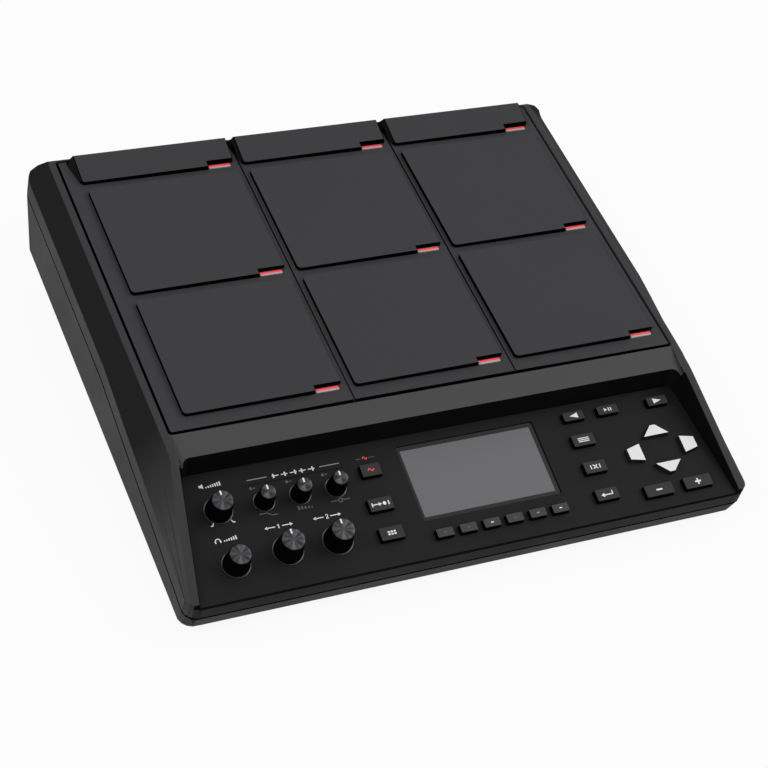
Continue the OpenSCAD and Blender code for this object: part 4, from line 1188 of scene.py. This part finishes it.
class DRUMPAD_OT_stage(bpy.types.Operator):
    """Set up the floor, the light and the camera"""

    bl_idname = "drumpad.stage"
    bl_label = "Stage"

    def execute(self, context):
        stage = context.scene.drumpad_stage
        self.floor(stage)
        self.light(context.scene, stage)
        self.camera(context.scene, stage)
        context.scene.view_settings.view_transform = "Standard"
        return {"FINISHED"}

    def floor(self, stage):
        """Pale floor that keeps a soft shadow."""
        matt = {"Base Color": (*stage.floor, 1), "Roughness": 0.9, "Specular IOR Level": 0.0}
        paint, tree, out = bare_material("floor_paint", matt)
        end = tree.nodes["Material Output"]
        share = new_node(tree, "Math", {1: FLOOR_GLOW}, operation="MULTIPLY")
        glow = new_node(tree, "Emission", {"Color": (1, 1, 1, 1), "Strength": 1.0})
        mix = new_node(tree, "MixShader")
        join(
            tree,
            (self.seen(tree), 0, share, 0), (share, 0, mix, 0), (out, "BSDF", mix, 1),
            (glow, "Emission", mix, 2), (mix, "Shader", end, "Surface"),
        )
        work = bmesh.new()
        bmesh.ops.create_grid(work, x_segments=1, y_segments=1, size=FLOOR_SIZE)
        made = placed("floor", work, [paint])

    def seen(self, tree):
        """Node that gives one where a surface is looked at, straight, in a reflection or through glass."""
        path = new_node(tree, "LightPath")
        mirrored = new_node(tree, "Math", operation="MAXIMUM")
        either = new_node(tree, "Math", operation="MAXIMUM")
        join(
            tree,
            (path, "Is Glossy Ray", mirrored, 0), (path, "Is Transmission Ray", mirrored, 1),
            (path, "Is Camera Ray", either, 0), (mirrored, 0, either, 1),
        )
        return either

    def light(self, scene, stage):
        """Light from all round and a lamp at each side."""
        world = bpy.data.worlds.new("surround")
        world.use_nodes = True
        tree = world.node_tree
        back = tree.nodes["Background"]
        back.inputs["Color"].default_value = (1, 1, 1, 1)
        levels = {1: 1 - stage.fill, 2: stage.fill}
        strength = new_node(tree, "Math", levels, operation="MULTIPLY_ADD")
        join(tree, (self.seen(tree), 0, strength, 0), (strength, 0, back, "Strength"))
        scene.world = world
        for (name, size, spot), power in zip(LAMPS, (stage.key, stage.side)):
            lamp = bpy.data.lights.new(name, "AREA")
            lamp.shape = "SQUARE"
            lamp.size = size
            lamp.energy = power
            made = bpy.data.objects.new(name, lamp)
            made.location = spot
            made.rotation_euler = (LAMP_AIM - made.location).to_track_quat("-Z", "Y").to_euler()
            scene.collection.objects.link(made)

    def camera(self, scene, stage):
        """Long lens at the left in front, slightly rolled."""
        lens = bpy.data.cameras.new("camera")
        lens.lens = stage.lens
        lens.sensor_width = SENSOR_WIDTH
        made = bpy.data.objects.new("camera", lens)
        made.matrix_world = DECK @ Matrix.Translation(CAMERA_PLACE) @ CAMERA_TURN.to_matrix().to_4x4()
        scene.collection.objects.link(made)
        scene.camera = made


SETTINGS = {
    "drumpad_case": CaseSettings,
    "drumpad_pads": PadSettings,
    "drumpad_panel": PanelSettings,
    "drumpad_controls": ControlSettings,
    "drumpad_rear": RearSettings,
    "drumpad_stage": StageSettings,
}
OPERATORS = (
    DRUMPAD_OT_upper_case,
    DRUMPAD_OT_lower_case,
    DRUMPAD_OT_pad_sheet,
    DRUMPAD_OT_pad_lights,
    DRUMPAD_OT_control_panel,
    DRUMPAD_OT_panel_marks,
    DRUMPAD_OT_display,
    DRUMPAD_OT_keys,
    DRUMPAD_OT_cursor_keys,
    DRUMPAD_OT_knobs,
    DRUMPAD_OT_rear_panel,
    DRUMPAD_OT_inner_parts,
    DRUMPAD_OT_stage,
)


class DRUMPAD_PT_sidebar(bpy.types.Panel):
    """List of the pieces, in the order in which they are made"""

    bl_idname = "DRUMPAD_PT_sidebar"
    bl_label = "Drum Pad"
    bl_space_type = "VIEW_3D"
    bl_region_type = "UI"
    bl_category = "Drum Pad"

    def draw(self, context):
        for operator in OPERATORS:
            self.layout.operator(operator.bl_idname)


def register():
    for name, group in SETTINGS.items():
        bpy.utils.register_class(group)
        setattr(bpy.types.Scene, name, PointerProperty(type=group))
    for operator in OPERATORS:
        bpy.utils.register_class(operator)
    bpy.utils.register_class(DRUMPAD_PT_sidebar)


def unregister():
    bpy.utils.unregister_class(DRUMPAD_PT_sidebar)
    for operator in reversed(OPERATORS):
        bpy.utils.unregister_class(operator)
    for name, group in SETTINGS.items():
        delattr(bpy.types.Scene, name)
        bpy.utils.unregister_class(group)


def main():
    register()
    bpy.ops.drumpad.upper_case()
    bpy.ops.drumpad.lower_case()
    bpy.ops.drumpad.pad_sheet()
    bpy.ops.drumpad.pad_lights()
    bpy.ops.drumpad.control_panel()
    bpy.ops.drumpad.panel_marks()
    bpy.ops.drumpad.display()
    bpy.ops.drumpad.keys()
    bpy.ops.drumpad.cursor_keys()
    bpy.ops.drumpad.knobs()
    bpy.ops.drumpad.rear_panel()
    bpy.ops.drumpad.inner_parts()
    bpy.ops.drumpad.stage()


if __name__ == "__main__":
    main()
